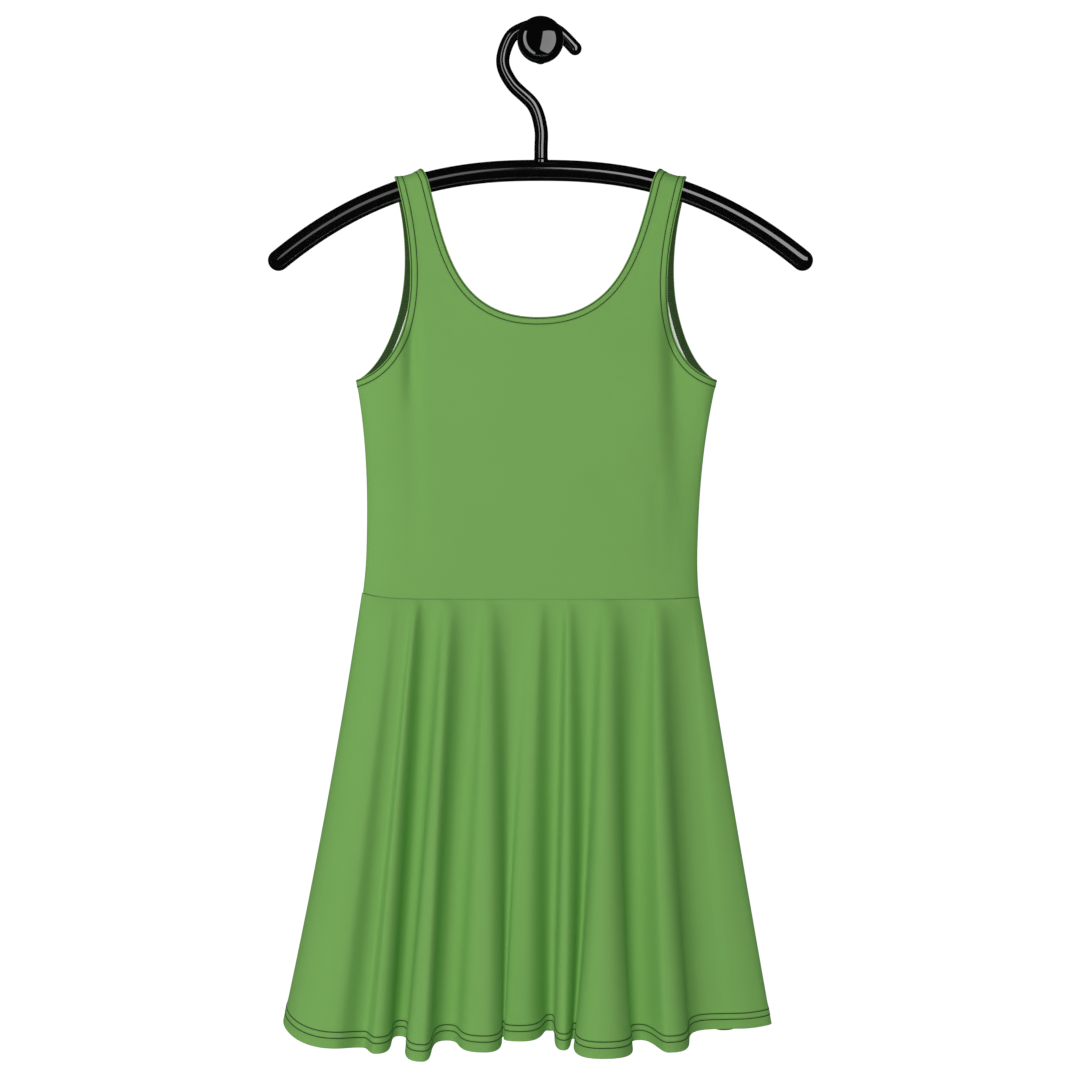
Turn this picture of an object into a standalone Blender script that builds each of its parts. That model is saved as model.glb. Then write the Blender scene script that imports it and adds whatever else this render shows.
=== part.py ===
"""A sleeveless skater dress on a tube hanger that hooks over a round wall knob.

The frame is in metres, +Z up. The wall is the plane Y = 0 and the room lies towards -Y. The
origin is the middle of the knob's foot, on the wall. Sizes below are in millimetres: x runs across the
dress, heights are measured from the knob's axis, and depths from the hanging plane, in which
the hanger lies. The panels hang at rest, so the cloth leans a little to one side.
"""

import math
from collections import namedtuple

import bmesh
import bpy
from mathutils import Vector

MM = 0.001
MERGE_DISTANCE = 0.01 * MM

# Cloth
WALL = 1.2
SEAM_GAP = 0.3
SEAM_TURN = 1.2           # flat strip beside a seam, so that two panels meet square

# Wall knob: a ball on a neck that widens from the wall towards it
HANG_DISTANCE = 46.0      # wall to hanging plane
FOOT_RADIUS = 7.0         # on the wall
NECK_RADIUS = 12.8        # where the hook rests, and on to the ball
BALL_RADIUS = 21.9
BALL_AHEAD = 26.0         # ball's centre in front of the hanging plane
KNOB_SIDES = 32
BALL_STEPS = 12
NECK_STEPS = 6

# Hanger: a bar that sags towards both ends, and a hook that rises from its middle
BAR_RADIUS = 10.0
BAR_HALF_SPAN = 249.2     # to the centres of the round ends
BAR_MIDDLE = -118.1
BAR_SAG = 85.6
BAR_SAG_POWER = 2.4
BAR_SPANS = 28
HOOK_RADIUS = 6.4
HOOK_ROUTE = (            # x and height of the hook's centre line, from the bar to the tip
    (0.5, BAR_MIDDLE), (0.5, -98.0), (0.3, -78.0), (-6.9, -56.1), (-27.1, -35.5),
    (-35.9, -15.0), (-29.0, 7.6), (-15.4, 17.0), (0.2, 19.6), (16.8, 13.6), (32.8, -2.2))
TUBE_DETAIL = 4           # twelve sides
ROUND_END_ANGLES = (25.0, 48.0, 68.0, 83.0)
HOOK_SPAN_STEPS = 5
SEAT_HALF = 30.0          # stretch of bar that the hook's foot is coped to
SEAT_SPANS = 6

# Bodice: half widths are of the cut, which is the same on both sides
BUST_HEIGHT = -317.5      # where armhole and side seam meet
BUST_HALF = 171.4
NIP_HEIGHT = -479.0       # narrowest place
NIP_HALF = 157.4
SIDE_POWER = 2.4
WAIST_HEIGHT = -525.6
WAIST_HALF = 160.4
WAIST_RISE = 3.0          # the waist seam rises beside the side seams
WAIST_DEPTH = 14.0
SIDE_ROUNDNESS = 8        # power of the panels' plan curve: flat middle, round sides
STRAP_CLEARANCE = 0.5     # strap to the bar's front and back
STRAP_LIFT = 0.9          # strap to the bar's top
STRAP_TOP_INNER = 114.6   # shoulder seam, on top of the bar
STRAP_TOP_OUTER = 138.9
LEAN_START = -150.0       # the cloth leans to the left below here
LEAN_AT_WAIST = 9.4
LEAN_AT_HEM = 10.7
LEAN_POWER = 1.12
BODICE_ROWS = 19
ARMPIT_ROW = 6
NECK_ROW = 8
WRAP_ANGLES = (24.0, 46.0, 66.0, 82.0)
CREASE_ONSET = 0.18       # share of a crease's length over which it deepens
BODICE_COLUMNS = (0.0, 0.15, 0.31, 0.47, 0.61, 0.74, 0.85, 0.93, 0.98)

# Skirt
HEM_DROP = 412.0
MIDDLE_OF_DROP = 0.46     # height of the fold tables' middle column, as a share of the drop
FOLD_GROWTH = 0.65        # power by which folds deepen on the way down
SEAM_BOW = 0.6            # how squarely the cloth leaves a side seam
CREST_WAIST_REACH = 0.3   # at the waist a crest is narrow
RECESS_WAIST_REACH = 0.7  # and a recess wide
ROW_CROWDING = 1.25       # rows lie closer near the waist
SKIRT_ROWS = 12

Cut = namedtuple("Cut", "side neck_height neck_flat neck_rise strap_inner strap_outer "
                        "arm_top arm_foot depths creases")
Handle = namedtuple("Handle", "length slope")
Crease = namedtuple("Crease", "x_top top x_foot foot width depth")
Fold = namedtuple("Fold", "name waist middle hem depth drop left_reach right_reach")

# Depth of a bodice panel's middle, at heights from the bar down to the waist
FRONT_DEPTHS = ((-134.0, 11.6), (-200.0, 13.0), (-260.0, 15.5), (-318.0, 18.0), (-400.0, 19.0),
                (-470.0, 17.0), (-526.0, WAIST_DEPTH))
BACK_DEPTHS = ((-134.0, 11.6), (-200.0, 12.5), (-260.0, 14.0), (-318.0, 16.0), (-400.0, 17.0),
               (-470.0, 16.0), (-526.0, WAIST_DEPTH))

FRONT_CUT = Cut(side=-1, neck_height=-259.0, neck_flat=78.0, neck_rise=Handle(64.0, 0.25),
                strap_inner=106.0, strap_outer=134.3, arm_top=Handle(114.0, 0.26),
                arm_foot=Handle(43.0, 0.2), depths=FRONT_DEPTHS,
                creases=(Crease(-127.0, -268.0, -119.0, -480.0, 11.0, 5.0),
                         Crease(121.0, -250.0, 141.0, -530.0, 12.0, 7.0)))
BACK_CUT = Cut(side=1, neck_height=-268.0, neck_flat=80.0, neck_rise=Handle(64.0, 0.22),
               strap_inner=108.5, strap_outer=137.4, arm_top=Handle(104.0, 0.24),
               arm_foot=Handle(22.0, 0.75), depths=BACK_DEPTHS,
               creases=(Crease(-118.0, -300.0, -124.0, -520.0, 14.0, 4.0),
                        Crease(112.0, -310.0, 118.0, -470.0, 12.0, 4.0)))

# Fold lines from the left seam to the right seam. Waist, middle and hem are x; depth is at the
# hem, towards the room on the front and towards the wall on the back. Reach is how far a fold
# spreads to its left and right at the hem, as a share of the way to the next line: past 1 it
# overhangs the wall beside it.
FRONT_FOLDS = (
    Fold("left_seam", -169.8, -200.5, -243.8, 0.0, 405.0, 0.0, 0.0),
    Fold("left_swell", -156.5, -174.0, -215.0, 36.0, 411.0, 0.5, 0.5),
    Fold("left_dip", -143.0, -162.0, -195.0, 46.0, 415.0, 0.4, 0.3),
    Fold("left_crest", -123.0, -139.0, -149.0, 78.0, 415.0, 0.9, 0.9),
    Fold("first_recess", -104.0, -114.0, -131.0, 15.0, 411.0, 0.8, 0.75),
    Fold("first_crest", -87.5, -96.0, -108.0, 86.0, 419.0, 1.25, 0.7),
    Fold("second_recess", -61.0, -75.0, -88.0, 28.0, 412.0, 1.05, 0.5),
    Fold("second_crest", -50.5, -51.0, -51.0, 70.0, 414.5, 0.9, 1.4),
    Fold("third_recess", -23.0, -28.0, -35.0, 22.0, 411.0, 0.3, 0.3),
    Fold("middle_crest", -1.0, -11.0, -18.0, 42.0, 411.0, 1.5, 0.9),
    Fold("fourth_recess", 17.0, 13.0, 9.0, 8.0, 408.0, 0.35, 0.75),
    Fold("narrow_crest", 25.5, 24.5, 21.5, 62.0, 414.5, 1.15, 0.9),
    Fold("slit", 43.0, 43.0, 30.5, 27.0, 412.0, 0.4, 0.3),
    Fold("broad_crest", 62.5, 59.0, 56.5, 88.0, 415.0, 1.6, 1.35),
    Fold("fifth_recess", 99.0, 89.0, 93.0, 32.0, 413.5, 0.6, 0.55),
    Fold("right_crest", 108.5, 110.0, 118.0, 60.0, 415.5, 0.35, 0.85),
    Fold("sixth_recess", 138.5, 148.0, 163.0, 6.0, 409.0, 0.95, 0.6),
    Fold("right_swell", 145.0, 164.0, 190.0, 10.0, 408.0, 0.4, 0.4),
    Fold("right_seam", 151.0, 181.5, 219.6, 0.0, 406.0, 0.0, 0.0))

BACK_CREST = 38.0         # back folds are pressed flat by the wall
BACK_RECESS = 6.0
BACK_REACH = 0.8
BACK_SWAY = 2.6           # how far a back fold strays from even spacing
BACK_SWAY_RATE = 2.1
BACK_FOLD_PAIRS = 11


def smooth_table(table, x):
    """Value at x of a smooth curve through (x, value) rows, which may run either way."""
    rows = sorted(table)
    if x <= rows[0][0]:
        return rows[0][1]
    if x >= rows[-1][0]:
        return rows[-1][1]
    last = next(i for i, row in enumerate(rows) if row[0] >= x)
    slopes = []
    for i in (last - 1, last):
        before, after = rows[max(i - 1, 0)], rows[min(i + 1, len(rows) - 1)]
        slopes.append((after[1] - before[1]) / (after[0] - before[0]))
    (x0, y0), (x1, y1) = rows[last - 1], rows[last]
    span = x1 - x0
    t = (x - x0) / span
    return (y0 * (1 + 2 * t) * (1 - t) ** 2 + slopes[0] * span * t * (1 - t) ** 2
            + y1 * t * t * (3 - 2 * t) + slopes[1] * span * t * t * (t - 1))


def smooth_step(low, high, x):
    """0 below low, 1 above high, and an even S curve between them."""
    t = min(max((x - low) / (high - low), 0.0), 1.0)
    return t * t * (3 - 2 * t)


def mix(a, b, t):
    """Value at share t of the way from a to b."""
    return a + (b - a) * t


def bezier(points, t):
    """Point at t on the cubic curve with four control values or (x, height) points."""
    weights = ((1 - t) ** 3, 3 * t * (1 - t) ** 2, 3 * t * t * (1 - t), t ** 3)
    if isinstance(points[0], tuple):
        return tuple(sum(w * p[k] for w, p in zip(weights, points)) for k in range(2))
    return sum(w * p for w, p in zip(weights, points))


def spline_route(points, per_span):
    """Points of a smooth curve through the given (x, height) points."""
    ends = [points[0]] + list(points) + [points[-1]]
    route = []
    for a, b, c, d in zip(ends, ends[1:], ends[2:], ends[3:]):
        for step in range(per_span):
            t = step / per_span
            route.append(tuple(
                0.5 * (2 * b[k] + (c[k] - a[k]) * t + (2 * a[k] - 5 * b[k] + 4 * c[k] - d[k]) * t * t
                       + (3 * b[k] - a[k] - 3 * c[k] + d[k]) * t ** 3) for k in range(2)))
    return route + [points[-1]]


# Where the hanger and the cut of the dress lie

def bar_height(x):
    """Height of the bar's centre line."""
    return BAR_MIDDLE - BAR_SAG * (abs(x) / BAR_HALF_SPAN) ** BAR_SAG_POWER


def bar_stretch(x):
    """Height over thickness of an upright cut through the sloping bar."""
    slope = BAR_SAG * BAR_SAG_POWER / BAR_HALF_SPAN * (abs(x) / BAR_HALF_SPAN) ** (BAR_SAG_POWER - 1)
    return math.hypot(1.0, slope)


def lean(height):
    """Sideways shift of the hanging cloth."""
    if height >= WAIST_HEIGHT:
        share = max(LEAN_START - height, 0.0) / (LEAN_START - WAIST_HEIGHT)
        return -LEAN_AT_WAIST * share ** LEAN_POWER
    return -mix(LEAN_AT_WAIST, LEAN_AT_HEM, (WAIST_HEIGHT - height) / HEM_DROP)


def side_half(height):
    """Half width of the bodice between its side seams."""
    if height > NIP_HEIGHT:
        share = min((height - NIP_HEIGHT) / (BUST_HEIGHT - NIP_HEIGHT), 1.0)
        return NIP_HALF + (BUST_HALF - NIP_HALF) * share ** SIDE_POWER
    return NIP_HALF + (WAIST_HALF - NIP_HALF) * ((NIP_HEIGHT - height) / (NIP_HEIGHT - WAIST_HEIGHT)) ** 2


def plan_roundness(share):
    """Depth of a panel's plan curve, from 1 in its middle to 0 at its side seams."""
    return math.sqrt(max(1.0 - min(abs(share), 1.0) ** SIDE_ROUNDNESS, 0.0))


def waist_seam(x):
    """Height of the waist seam."""
    share = (x - lean(WAIST_HEIGHT)) / WAIST_HALF
    return WAIST_HEIGHT + WAIST_RISE * min(abs(share), 1.0) ** SIDE_ROUNDNESS


def waist_curve(x):
    """Depth of both panels at the waist seam."""
    return WAIST_DEPTH * plan_roundness((x - lean(WAIST_HEIGHT)) / WAIST_HALF)


# Bodice

def neck_edge(cut, row):
    """Half distance and height on the centre line, and then on the neckline."""
    if row <= NECK_ROW:
        return 0.0, mix(WAIST_HEIGHT, cut.neck_height, row / NECK_ROW)
    top = (cut.strap_inner, bar_height(cut.strap_inner))
    reach = cut.neck_rise.length / math.hypot(1.0, cut.neck_rise.slope)
    handles = ((0.0, cut.neck_height), (cut.neck_flat, cut.neck_height),
               (top[0] - reach * cut.neck_rise.slope, top[1] - reach), top)
    return bezier(handles, (row - NECK_ROW) / (BODICE_ROWS - NECK_ROW))


def arm_edge(cut, row):
    """Half distance and height on the side seam, and then on the armhole."""
    if row <= ARMPIT_ROW:
        height = mix(WAIST_HEIGHT + WAIST_RISE, BUST_HEIGHT, row / ARMPIT_ROW)
        return side_half(height), height
    top = (cut.strap_outer, bar_height(cut.strap_outer))
    fall = cut.arm_top.length / math.hypot(1.0, cut.arm_top.slope)
    reach = cut.arm_foot.length / math.hypot(1.0, cut.arm_foot.slope)
    handles = ((BUST_HALF, BUST_HEIGHT), (BUST_HALF - reach, BUST_HEIGHT + reach * cut.arm_foot.slope),
               (top[0] - fall * cut.arm_top.slope, top[1] - fall), top)
    return bezier(handles, (row - ARMPIT_ROW) / (BODICE_ROWS - ARMPIT_ROW))


def crease_depth(crease, x, height):
    """How far a crease presses the cloth in: a soft trough that fades towards its foot."""
    share = (crease.top - height) / (crease.top - crease.foot)
    if not 0.0 < share < 1.0:
        return 0.0
    fade = smooth_step(0.0, CREASE_ONSET, share) * (1.0 - share)
    away = (x - mix(crease.x_top, crease.x_foot, share)) / crease.width
    return crease.depth * fade * math.exp(-away * away)


def bodice_point(cut, hand, column, row):
    """Outer point of half a bodice panel. Column 0 is the centre and neckline edge."""
    inner, outer = neck_edge(cut, min(row, BODICE_ROWS)), arm_edge(cut, min(row, BODICE_ROWS))
    last = len(BODICE_COLUMNS)
    share = BODICE_COLUMNS[column] if column < last else 1.0
    if row > BODICE_ROWS:
        return strap_point(cut, hand, share, row - BODICE_ROWS)
    half = mix(inner[0], outer[0], share)
    height = mix(inner[1], outer[1], share)
    if row == 0:
        height = waist_seam(hand * half + lean(WAIST_HEIGHT)) + SEAM_GAP / 2
    x = hand * half + lean(height)
    on_side_seam = row <= ARMPIT_ROW and column >= last
    if on_side_seam:
        depth = SEAM_TURN * (last + 1 - column) + (WALL if row == ARMPIT_ROW else 0.0)
    else:
        above_arm = smooth_step(BUST_HEIGHT, bar_height(cut.strap_outer), height)
        roundness = mix(plan_roundness(half / side_half(height)), 1.0, above_arm)
        depth = smooth_table(cut.depths, height) * roundness
        depth -= sum(crease_depth(crease, x, height) for crease in cut.creases)
    return Vector((x, cut.side * (depth + SEAM_GAP / 2), height)) * MM


def strap_point(cut, hand, share, step):
    """Outer point of the strap where it bends over the bar, up to the shoulder seam."""
    angle = math.radians(WRAP_ANGLES[min(step, len(WRAP_ANGLES)) - 1])
    rise = angle / math.radians(90.0)
    top = BAR_RADIUS + STRAP_LIFT + WALL
    lift = top * math.sin(angle)
    depth = (BAR_RADIUS + STRAP_CLEARANCE + WALL) * math.cos(angle)
    if step > len(WRAP_ANGLES):
        rise, lift = 1.0, top
        depth = SEAM_GAP / 2 + SEAM_TURN * (len(WRAP_ANGLES) + 2 - step)
    inner = mix(cut.strap_inner, STRAP_TOP_INNER, rise)
    half = mix(inner, mix(cut.strap_outer, STRAP_TOP_OUTER, rise), share)
    return Vector((hand * half, cut.side * depth, bar_height(half) + lift * bar_stretch(half))) * MM


# Skirt

def back_folds():
    """Even, shallow fold lines of the back, from the left seam to the right seam."""
    left, right = FRONT_FOLDS[0], FRONT_FOLDS[-1]
    count = 2 * BACK_FOLD_PAIRS
    folds = [left]
    for i in range(1, count):
        share = i / count
        crest = i % 2
        sway = math.sin(i * BACK_SWAY_RATE) * BACK_SWAY
        folds.append(Fold(
            "back_crest" if crest else "back_recess",
            mix(left.waist, right.waist, share), mix(left.middle, right.middle, share) + sway / 2,
            mix(left.hem, right.hem, share) + sway,
            BACK_CREST if crest else BACK_RECESS, HEM_DROP, BACK_REACH, BACK_REACH))
    return tuple(folds) + (right,)


def fold_x(fold, share):
    """Place of a fold line at a share of the drop: a curve through its three columns."""
    middle = MIDDLE_OF_DROP
    at_waist = (share - middle) * (share - 1) / middle
    at_middle = share * (share - 1) / (middle * (middle - 1))
    at_hem = share * (share - middle) / (1 - middle)
    return fold.waist * at_waist + fold.middle * at_middle + fold.hem * at_hem


def waist_reaches(a, b):
    """How far fold lines a and b spread towards each other at the waist seam."""
    if a.depth > b.depth:
        return CREST_WAIST_REACH, RECESS_WAIST_REACH
    return RECESS_WAIST_REACH, CREST_WAIST_REACH


def skirt_point(folds, side, along, share, turn):
    """Outer point of a skirt panel, 'along' fold lines from the left seam."""
    first = min(int(along), len(folds) - 2)
    a, b = folds[first], folds[first + 1]
    t = along - first
    xa, xb = fold_x(a, share), fold_x(b, share)
    waist_a, waist_b = waist_reaches(a, b)
    reach_a = mix(waist_a, a.right_reach, share) if a.right_reach else 0.0
    reach_b = mix(waist_b, b.left_reach, share) if b.left_reach else 0.0
    x = bezier((xa, mix(xa, xb, reach_a), mix(xb, xa, reach_b), xb), t)
    bow_a = a.depth if a.right_reach else SEAM_BOW * b.depth
    bow_b = b.depth if b.left_reach else SEAM_BOW * a.depth
    fold_depth = bezier((a.depth, bow_a, bow_b, b.depth), t)
    x_waist = bezier((a.waist, mix(a.waist, b.waist, waist_a * bool(a.right_reach)),
                      mix(b.waist, a.waist, waist_b * bool(b.left_reach)), b.waist), t)
    growth = share ** FOLD_GROWTH
    depth = mix(waist_curve(x_waist), fold_depth, growth) + turn + SEAM_GAP / 2
    drop = share * bezier((a.drop, a.drop, b.drop, b.drop), t)
    return Vector((x, side * depth, waist_seam(x_waist) - SEAM_GAP / 2 - drop)) * MM


def skirt_shares():
    """Shares of the drop at which the rows lie, from the waist seam to the hem."""
    strip = SEAM_TURN / HEM_DROP
    return [None] + [(row / SKIRT_ROWS) ** ROW_CROWDING * (1 - strip) for row in range(SKIRT_ROWS + 1)]


# Making objects

def finish(name, colour, roughness):
    """A material of one colour."""
    material = bpy.data.materials.new(name)
    material.use_nodes = True
    shader = material.node_tree.nodes["Principled BSDF"]
    shader.inputs["Base Color"].default_value = (*colour, 1.0)
    shader.inputs["Roughness"].default_value = roughness
    shader.inputs["Metallic"].default_value = 0.0
    return material


def add_object(name, data, material, collection, parent):
    """A named object in the dress's collection, with its own material."""
    obj = bpy.data.objects.new(name, data)
    data.materials.append(material)
    collection.objects.link(obj)
    obj.parent = parent
    return obj


def add_grid(shape, columns, rows, place):
    """Adds a sheet of columns by rows faces, with each point where place(column, row) puts it."""
    half = 1.0
    made = bmesh.ops.create_grid(shape, x_segments=columns, y_segments=rows, size=half)
    for vertex in made["verts"]:
        column = round((vertex.co.x + half) / (2 * half) * columns)
        row = round((vertex.co.y + half) / (2 * half) * rows)
        vertex.co = place(column, row)


def cloth(name, shape, side, material, collection, parent):
    """Cloth with a wall: the sheet is its outer face, and Solidify thickens it inwards."""
    bmesh.ops.remove_doubles(shape, verts=shape.verts, dist=MERGE_DISTANCE)
    facing = sum((face.normal * face.calc_area() for face in shape.faces), Vector()).y
    if facing * side < 0:
        bmesh.ops.reverse_faces(shape, faces=shape.faces)
    mesh = bpy.data.meshes.new(name)
    shape.to_mesh(mesh)
    shape.free()
    mesh.shade_smooth()
    obj = add_object(name, mesh, material, collection, parent)
    wall = obj.modifiers.new("wall", "SOLIDIFY")
    wall.thickness = WALL * MM
    wall.offset = -1.0
    return obj


def add_bodice(name, cut, material, collection, parent):
    """One bodice panel with its straps: two halves that meet on the centre line."""
    shape = bmesh.new()
    columns = len(BODICE_COLUMNS) + 1
    rows = BODICE_ROWS + len(WRAP_ANGLES) + 2
    for hand in (-1, 1):
        half = bmesh.new()
        add_grid(half, columns, rows, lambda column, row: bodice_point(cut, hand, column, row))
        if hand < 0:
            bmesh.ops.reverse_faces(half, faces=half.faces)
        mesh = bpy.data.meshes.new("half")
        half.to_mesh(mesh)
        half.free()
        shape.from_mesh(mesh)
        bpy.data.meshes.remove(mesh)
    shape.normal_update()
    return cloth(name, shape, cut.side, material, collection, parent)


def add_skirt(name, folds, side, per_fold, material, collection, parent):
    """One skirt panel: fold lines run from the waist seam to the hem."""
    stations = [(0.0, 0.0), (0.0, SEAM_TURN)]
    count = (len(folds) - 1) * per_fold
    stations += [(i / per_fold, 0.0) for i in range(1, count)]
    stations += [(count / per_fold, SEAM_TURN), (count / per_fold, 0.0)]
    shares = skirt_shares()

    def place(column, row):
        along, turn = stations[column]
        if shares[row] is None:
            return skirt_point(folds, side, along, 0.0, turn)
        point = skirt_point(folds, side, along, shares[row], turn)
        return point - Vector((0.0, 0.0, SEAM_TURN * MM))

    shape = bmesh.new()
    add_grid(shape, len(stations) - 1, len(shares) - 1, place)
    shape.normal_update()
    return cloth(name, shape, side, material, collection, parent)


def tube(name, route, radius, round_ends, material, collection, parent):
    """A tube along (x, height) points in the hanging plane, with chosen ends rounded off."""
    stations = [(point, 1.0) for point in route]
    for end, neighbour, at_start in ((route[0], route[1], True), (route[-1], route[-2], False)):
        if not round_ends[0 if at_start else 1]:
            continue
        way = Vector((end[0] - neighbour[0], end[1] - neighbour[1])).normalized() * radius
        for degrees in ROUND_END_ANGLES:
            reach, narrowing = math.sin(math.radians(degrees)), math.cos(math.radians(degrees))
            station = ((end[0] + way.x * reach, end[1] + way.y * reach), narrowing)
            if at_start:
                stations.insert(0, station)
            else:
                stations.append(station)
    curve = bpy.data.curves.new(name, "CURVE")
    curve.dimensions = "3D"
    curve.bevel_depth = radius * MM
    curve.bevel_resolution = TUBE_DETAIL
    curve.use_fill_caps = True
    spline = curve.splines.new("POLY")
    spline.points.add(len(stations) - 1)
    for point, ((x, height), narrowing) in zip(spline.points, stations):
        point.co = (x * MM, 0.0, height * MM, 1.0)
        point.radius = narrowing
    return add_object(name, curve, material, collection, parent)


def as_mesh(obj):
    """The same object as a closed mesh, so that it can be cut."""
    bpy.context.view_layer.update()
    evaluated = obj.evaluated_get(bpy.context.evaluated_depsgraph_get())
    mesh = bpy.data.meshes.new_from_object(evaluated)
    shape = bmesh.new()
    shape.from_mesh(mesh)
    bmesh.ops.remove_doubles(shape, verts=shape.verts, dist=MERGE_DISTANCE)
    shape.to_mesh(mesh)
    shape.free()
    mesh.shade_smooth()
    solid = bpy.data.objects.new(obj.name, mesh)
    obj.users_collection[0].objects.link(solid)
    solid.parent = obj.parent
    solid.matrix_world = obj.matrix_world
    name = obj.name
    bpy.data.objects.remove(obj)
    solid.name = name
    return solid


def add_hanger(material, collection, cutters, parent):
    """The bar, and the hook whose foot is coped to sit on the bar."""
    span = [BAR_HALF_SPAN * (2 * i / BAR_SPANS - 1) for i in range(BAR_SPANS + 1)]
    bar = [(x, bar_height(x)) for x in span]
    tube("hanger_bar", bar, BAR_RADIUS, (True, True), material, collection, parent)
    hook = tube("hanger_hook", spline_route(HOOK_ROUTE, HOOK_SPAN_STEPS), HOOK_RADIUS, (False, True),
                material, collection, parent)
    hook = as_mesh(hook)
    across = [SEAT_HALF * (2 * i / SEAT_SPANS - 1) for i in range(SEAT_SPANS + 1)]
    seat = [(x, bar_height(x)) for x in across]
    cutter = as_mesh(tube("hook_seat", seat, BAR_RADIUS + SEAM_GAP, (False, False), material,
                          cutters, parent))
    cutter.hide_render = True
    cutter.display_type = "WIRE"
    cut = hook.modifiers.new("seat", "BOOLEAN")
    cut.operation = "DIFFERENCE"
    cut.object = cutter


def add_knob(material, collection, parent):
    """Ball, neck and foot, turned about the knob's axis."""
    ball_height = HANG_DISTANCE + BALL_AHEAD
    meeting = math.pi - math.asin(NECK_RADIUS / BALL_RADIUS)
    profile = []
    for i in range(BALL_STEPS + 1):
        angle = meeting * i / BALL_STEPS
        profile.append((BALL_RADIUS * math.sin(angle), ball_height + BALL_RADIUS * math.cos(angle)))
    rest = HANG_DISTANCE - HOOK_RADIUS
    for i in range(NECK_STEPS + 1):
        share = i / NECK_STEPS
        profile.append((mix(NECK_RADIUS, FOOT_RADIUS, smooth_step(0.0, 1.0, share)), rest * (1 - share)))
    profile.append((0.0, 0.0))
    mesh = bpy.data.meshes.new("wall_knob")
    shape = bmesh.new()
    corners = [shape.verts.new((radius * MM, 0.0, height * MM)) for radius, height in profile]
    for a, b in zip(corners, corners[1:]):
        shape.edges.new((a, b))
    shape.to_mesh(mesh)
    shape.free()
    knob = add_object("wall_knob", mesh, material, collection, parent)
    knob.rotation_euler = (math.radians(90.0), 0.0, 0.0)
    turn = knob.modifiers.new("turn", "SCREW")
    turn.steps = turn.render_steps = KNOB_SIDES
    turn.use_merge_vertices = True
    turn.merge_threshold = MERGE_DISTANCE
    turn.use_smooth_shade = True
    return knob


def new_collection(name):
    """An empty collection in the scene."""
    collection = bpy.data.collections.new(name)
    bpy.context.scene.collection.children.link(collection)
    return collection


def main():
    """Builds the knob, the hanger and the dress."""
    for obj in list(bpy.data.objects):
        bpy.data.objects.remove(obj)
    dress = new_collection("skater_dress")
    cutters = new_collection("cutters")
    plane = bpy.data.objects.new("hanging_plane", None)
    plane.location = (0.0, -HANG_DISTANCE * MM, 0.0)
    dress.objects.link(plane)
    jersey = finish("green_jersey", (0.17, 0.36, 0.09), 0.85)
    black = finish("black_hanger", (0.012, 0.012, 0.013), 0.2)
    knob_black = finish("black_knob", (0.010, 0.010, 0.011), 0.12)
    add_knob(knob_black, dress, None)
    add_hanger(black, dress, cutters, plane)
    add_bodice("bodice_front", FRONT_CUT, jersey, dress, plane)
    add_bodice("bodice_back", BACK_CUT, jersey, dress, plane)
    add_skirt("skirt_front", FRONT_FOLDS, -1, 4, jersey, dress, plane)
    add_skirt("skirt_back", back_folds(), 1, 3, jersey, dress, plane)


main()
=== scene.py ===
"""The looks of a green jersey skater dress on a glossy tube hanger and wall knob.

Sizes are in millimetres in the hanging plane's own frame: x runs across the dress, height is
measured from the knob's axis, and depth from the hanging plane, towards the room on the front
and towards the wall on the back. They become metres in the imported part's frame when a mesh is made.
"""

import logging
import math
from dataclasses import dataclass
from enum import Enum
from typing import Callable, NamedTuple, Sequence

import bmesh
import bpy
import numpy as np
from mathutils import Matrix, Vector


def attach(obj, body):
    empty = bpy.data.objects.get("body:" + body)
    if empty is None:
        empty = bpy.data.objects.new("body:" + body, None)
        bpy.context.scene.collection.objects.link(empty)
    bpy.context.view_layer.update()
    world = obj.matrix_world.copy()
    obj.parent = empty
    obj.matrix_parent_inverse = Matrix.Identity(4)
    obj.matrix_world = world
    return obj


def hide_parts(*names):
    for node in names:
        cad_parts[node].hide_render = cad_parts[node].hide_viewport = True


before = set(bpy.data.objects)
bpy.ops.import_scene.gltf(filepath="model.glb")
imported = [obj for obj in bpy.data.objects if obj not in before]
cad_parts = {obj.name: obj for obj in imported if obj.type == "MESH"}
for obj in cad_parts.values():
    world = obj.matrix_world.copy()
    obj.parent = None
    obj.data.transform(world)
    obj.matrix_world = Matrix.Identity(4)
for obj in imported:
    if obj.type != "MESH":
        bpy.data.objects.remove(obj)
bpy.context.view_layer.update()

logging.basicConfig(level=logging.INFO, format="%(message)s")
log = logging.getLogger("dress")

MM = 0.001
MERGE_DISTANCE = 0.01 * MM
HANG_DISTANCE = 46.0      # wall to hanging plane
BODY = "root"
LIT_WALL_SHADE = 0.35          # share of the painted fold shade that walls facing the key light take; walls facing away take all of it

Array = np.ndarray
Colour = tuple[float, float, float, float]
Station = tuple[Vector, Vector, float]  # centre, direction and radius of a tube's circle


class Side(Enum):
    """Which way a panel faces: along -Y to the room or along +Y to the wall."""

    FRONT = -1
    BACK = 1


class Slot(Enum):
    """The record's material slots."""

    CLOTH = "jersey"
    HANGER = "hanger_plastic"
    KNOB = "knob_lacquer"


# Curves and grids

def mix(a, b, t):
    """Value at share t of the way from a to b.

    Args:
        a: Value at share 0, a number or an array.
        b: Value at share 1.
        t: The share.

    Returns:
        The value between them.
    """
    return a + (b - a) * t


def smooth_step(low: float, high: float, x):
    """An even S curve, 0 below low and 1 above high.

    Args:
        low: Where it leaves 0.
        high: Where it reaches 1.
        x: Where to read it, a number or an array.

    Returns:
        The curve's value there.
    """
    t = np.clip((x - low) / (high - low), 0.0, 1.0)
    return t * t * (3 - 2 * t)


def bell(x, width: float):
    """A soft bump: 1 at x = 0 and close to 0 past two widths."""
    return np.exp(-(x / width) ** 2)


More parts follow.
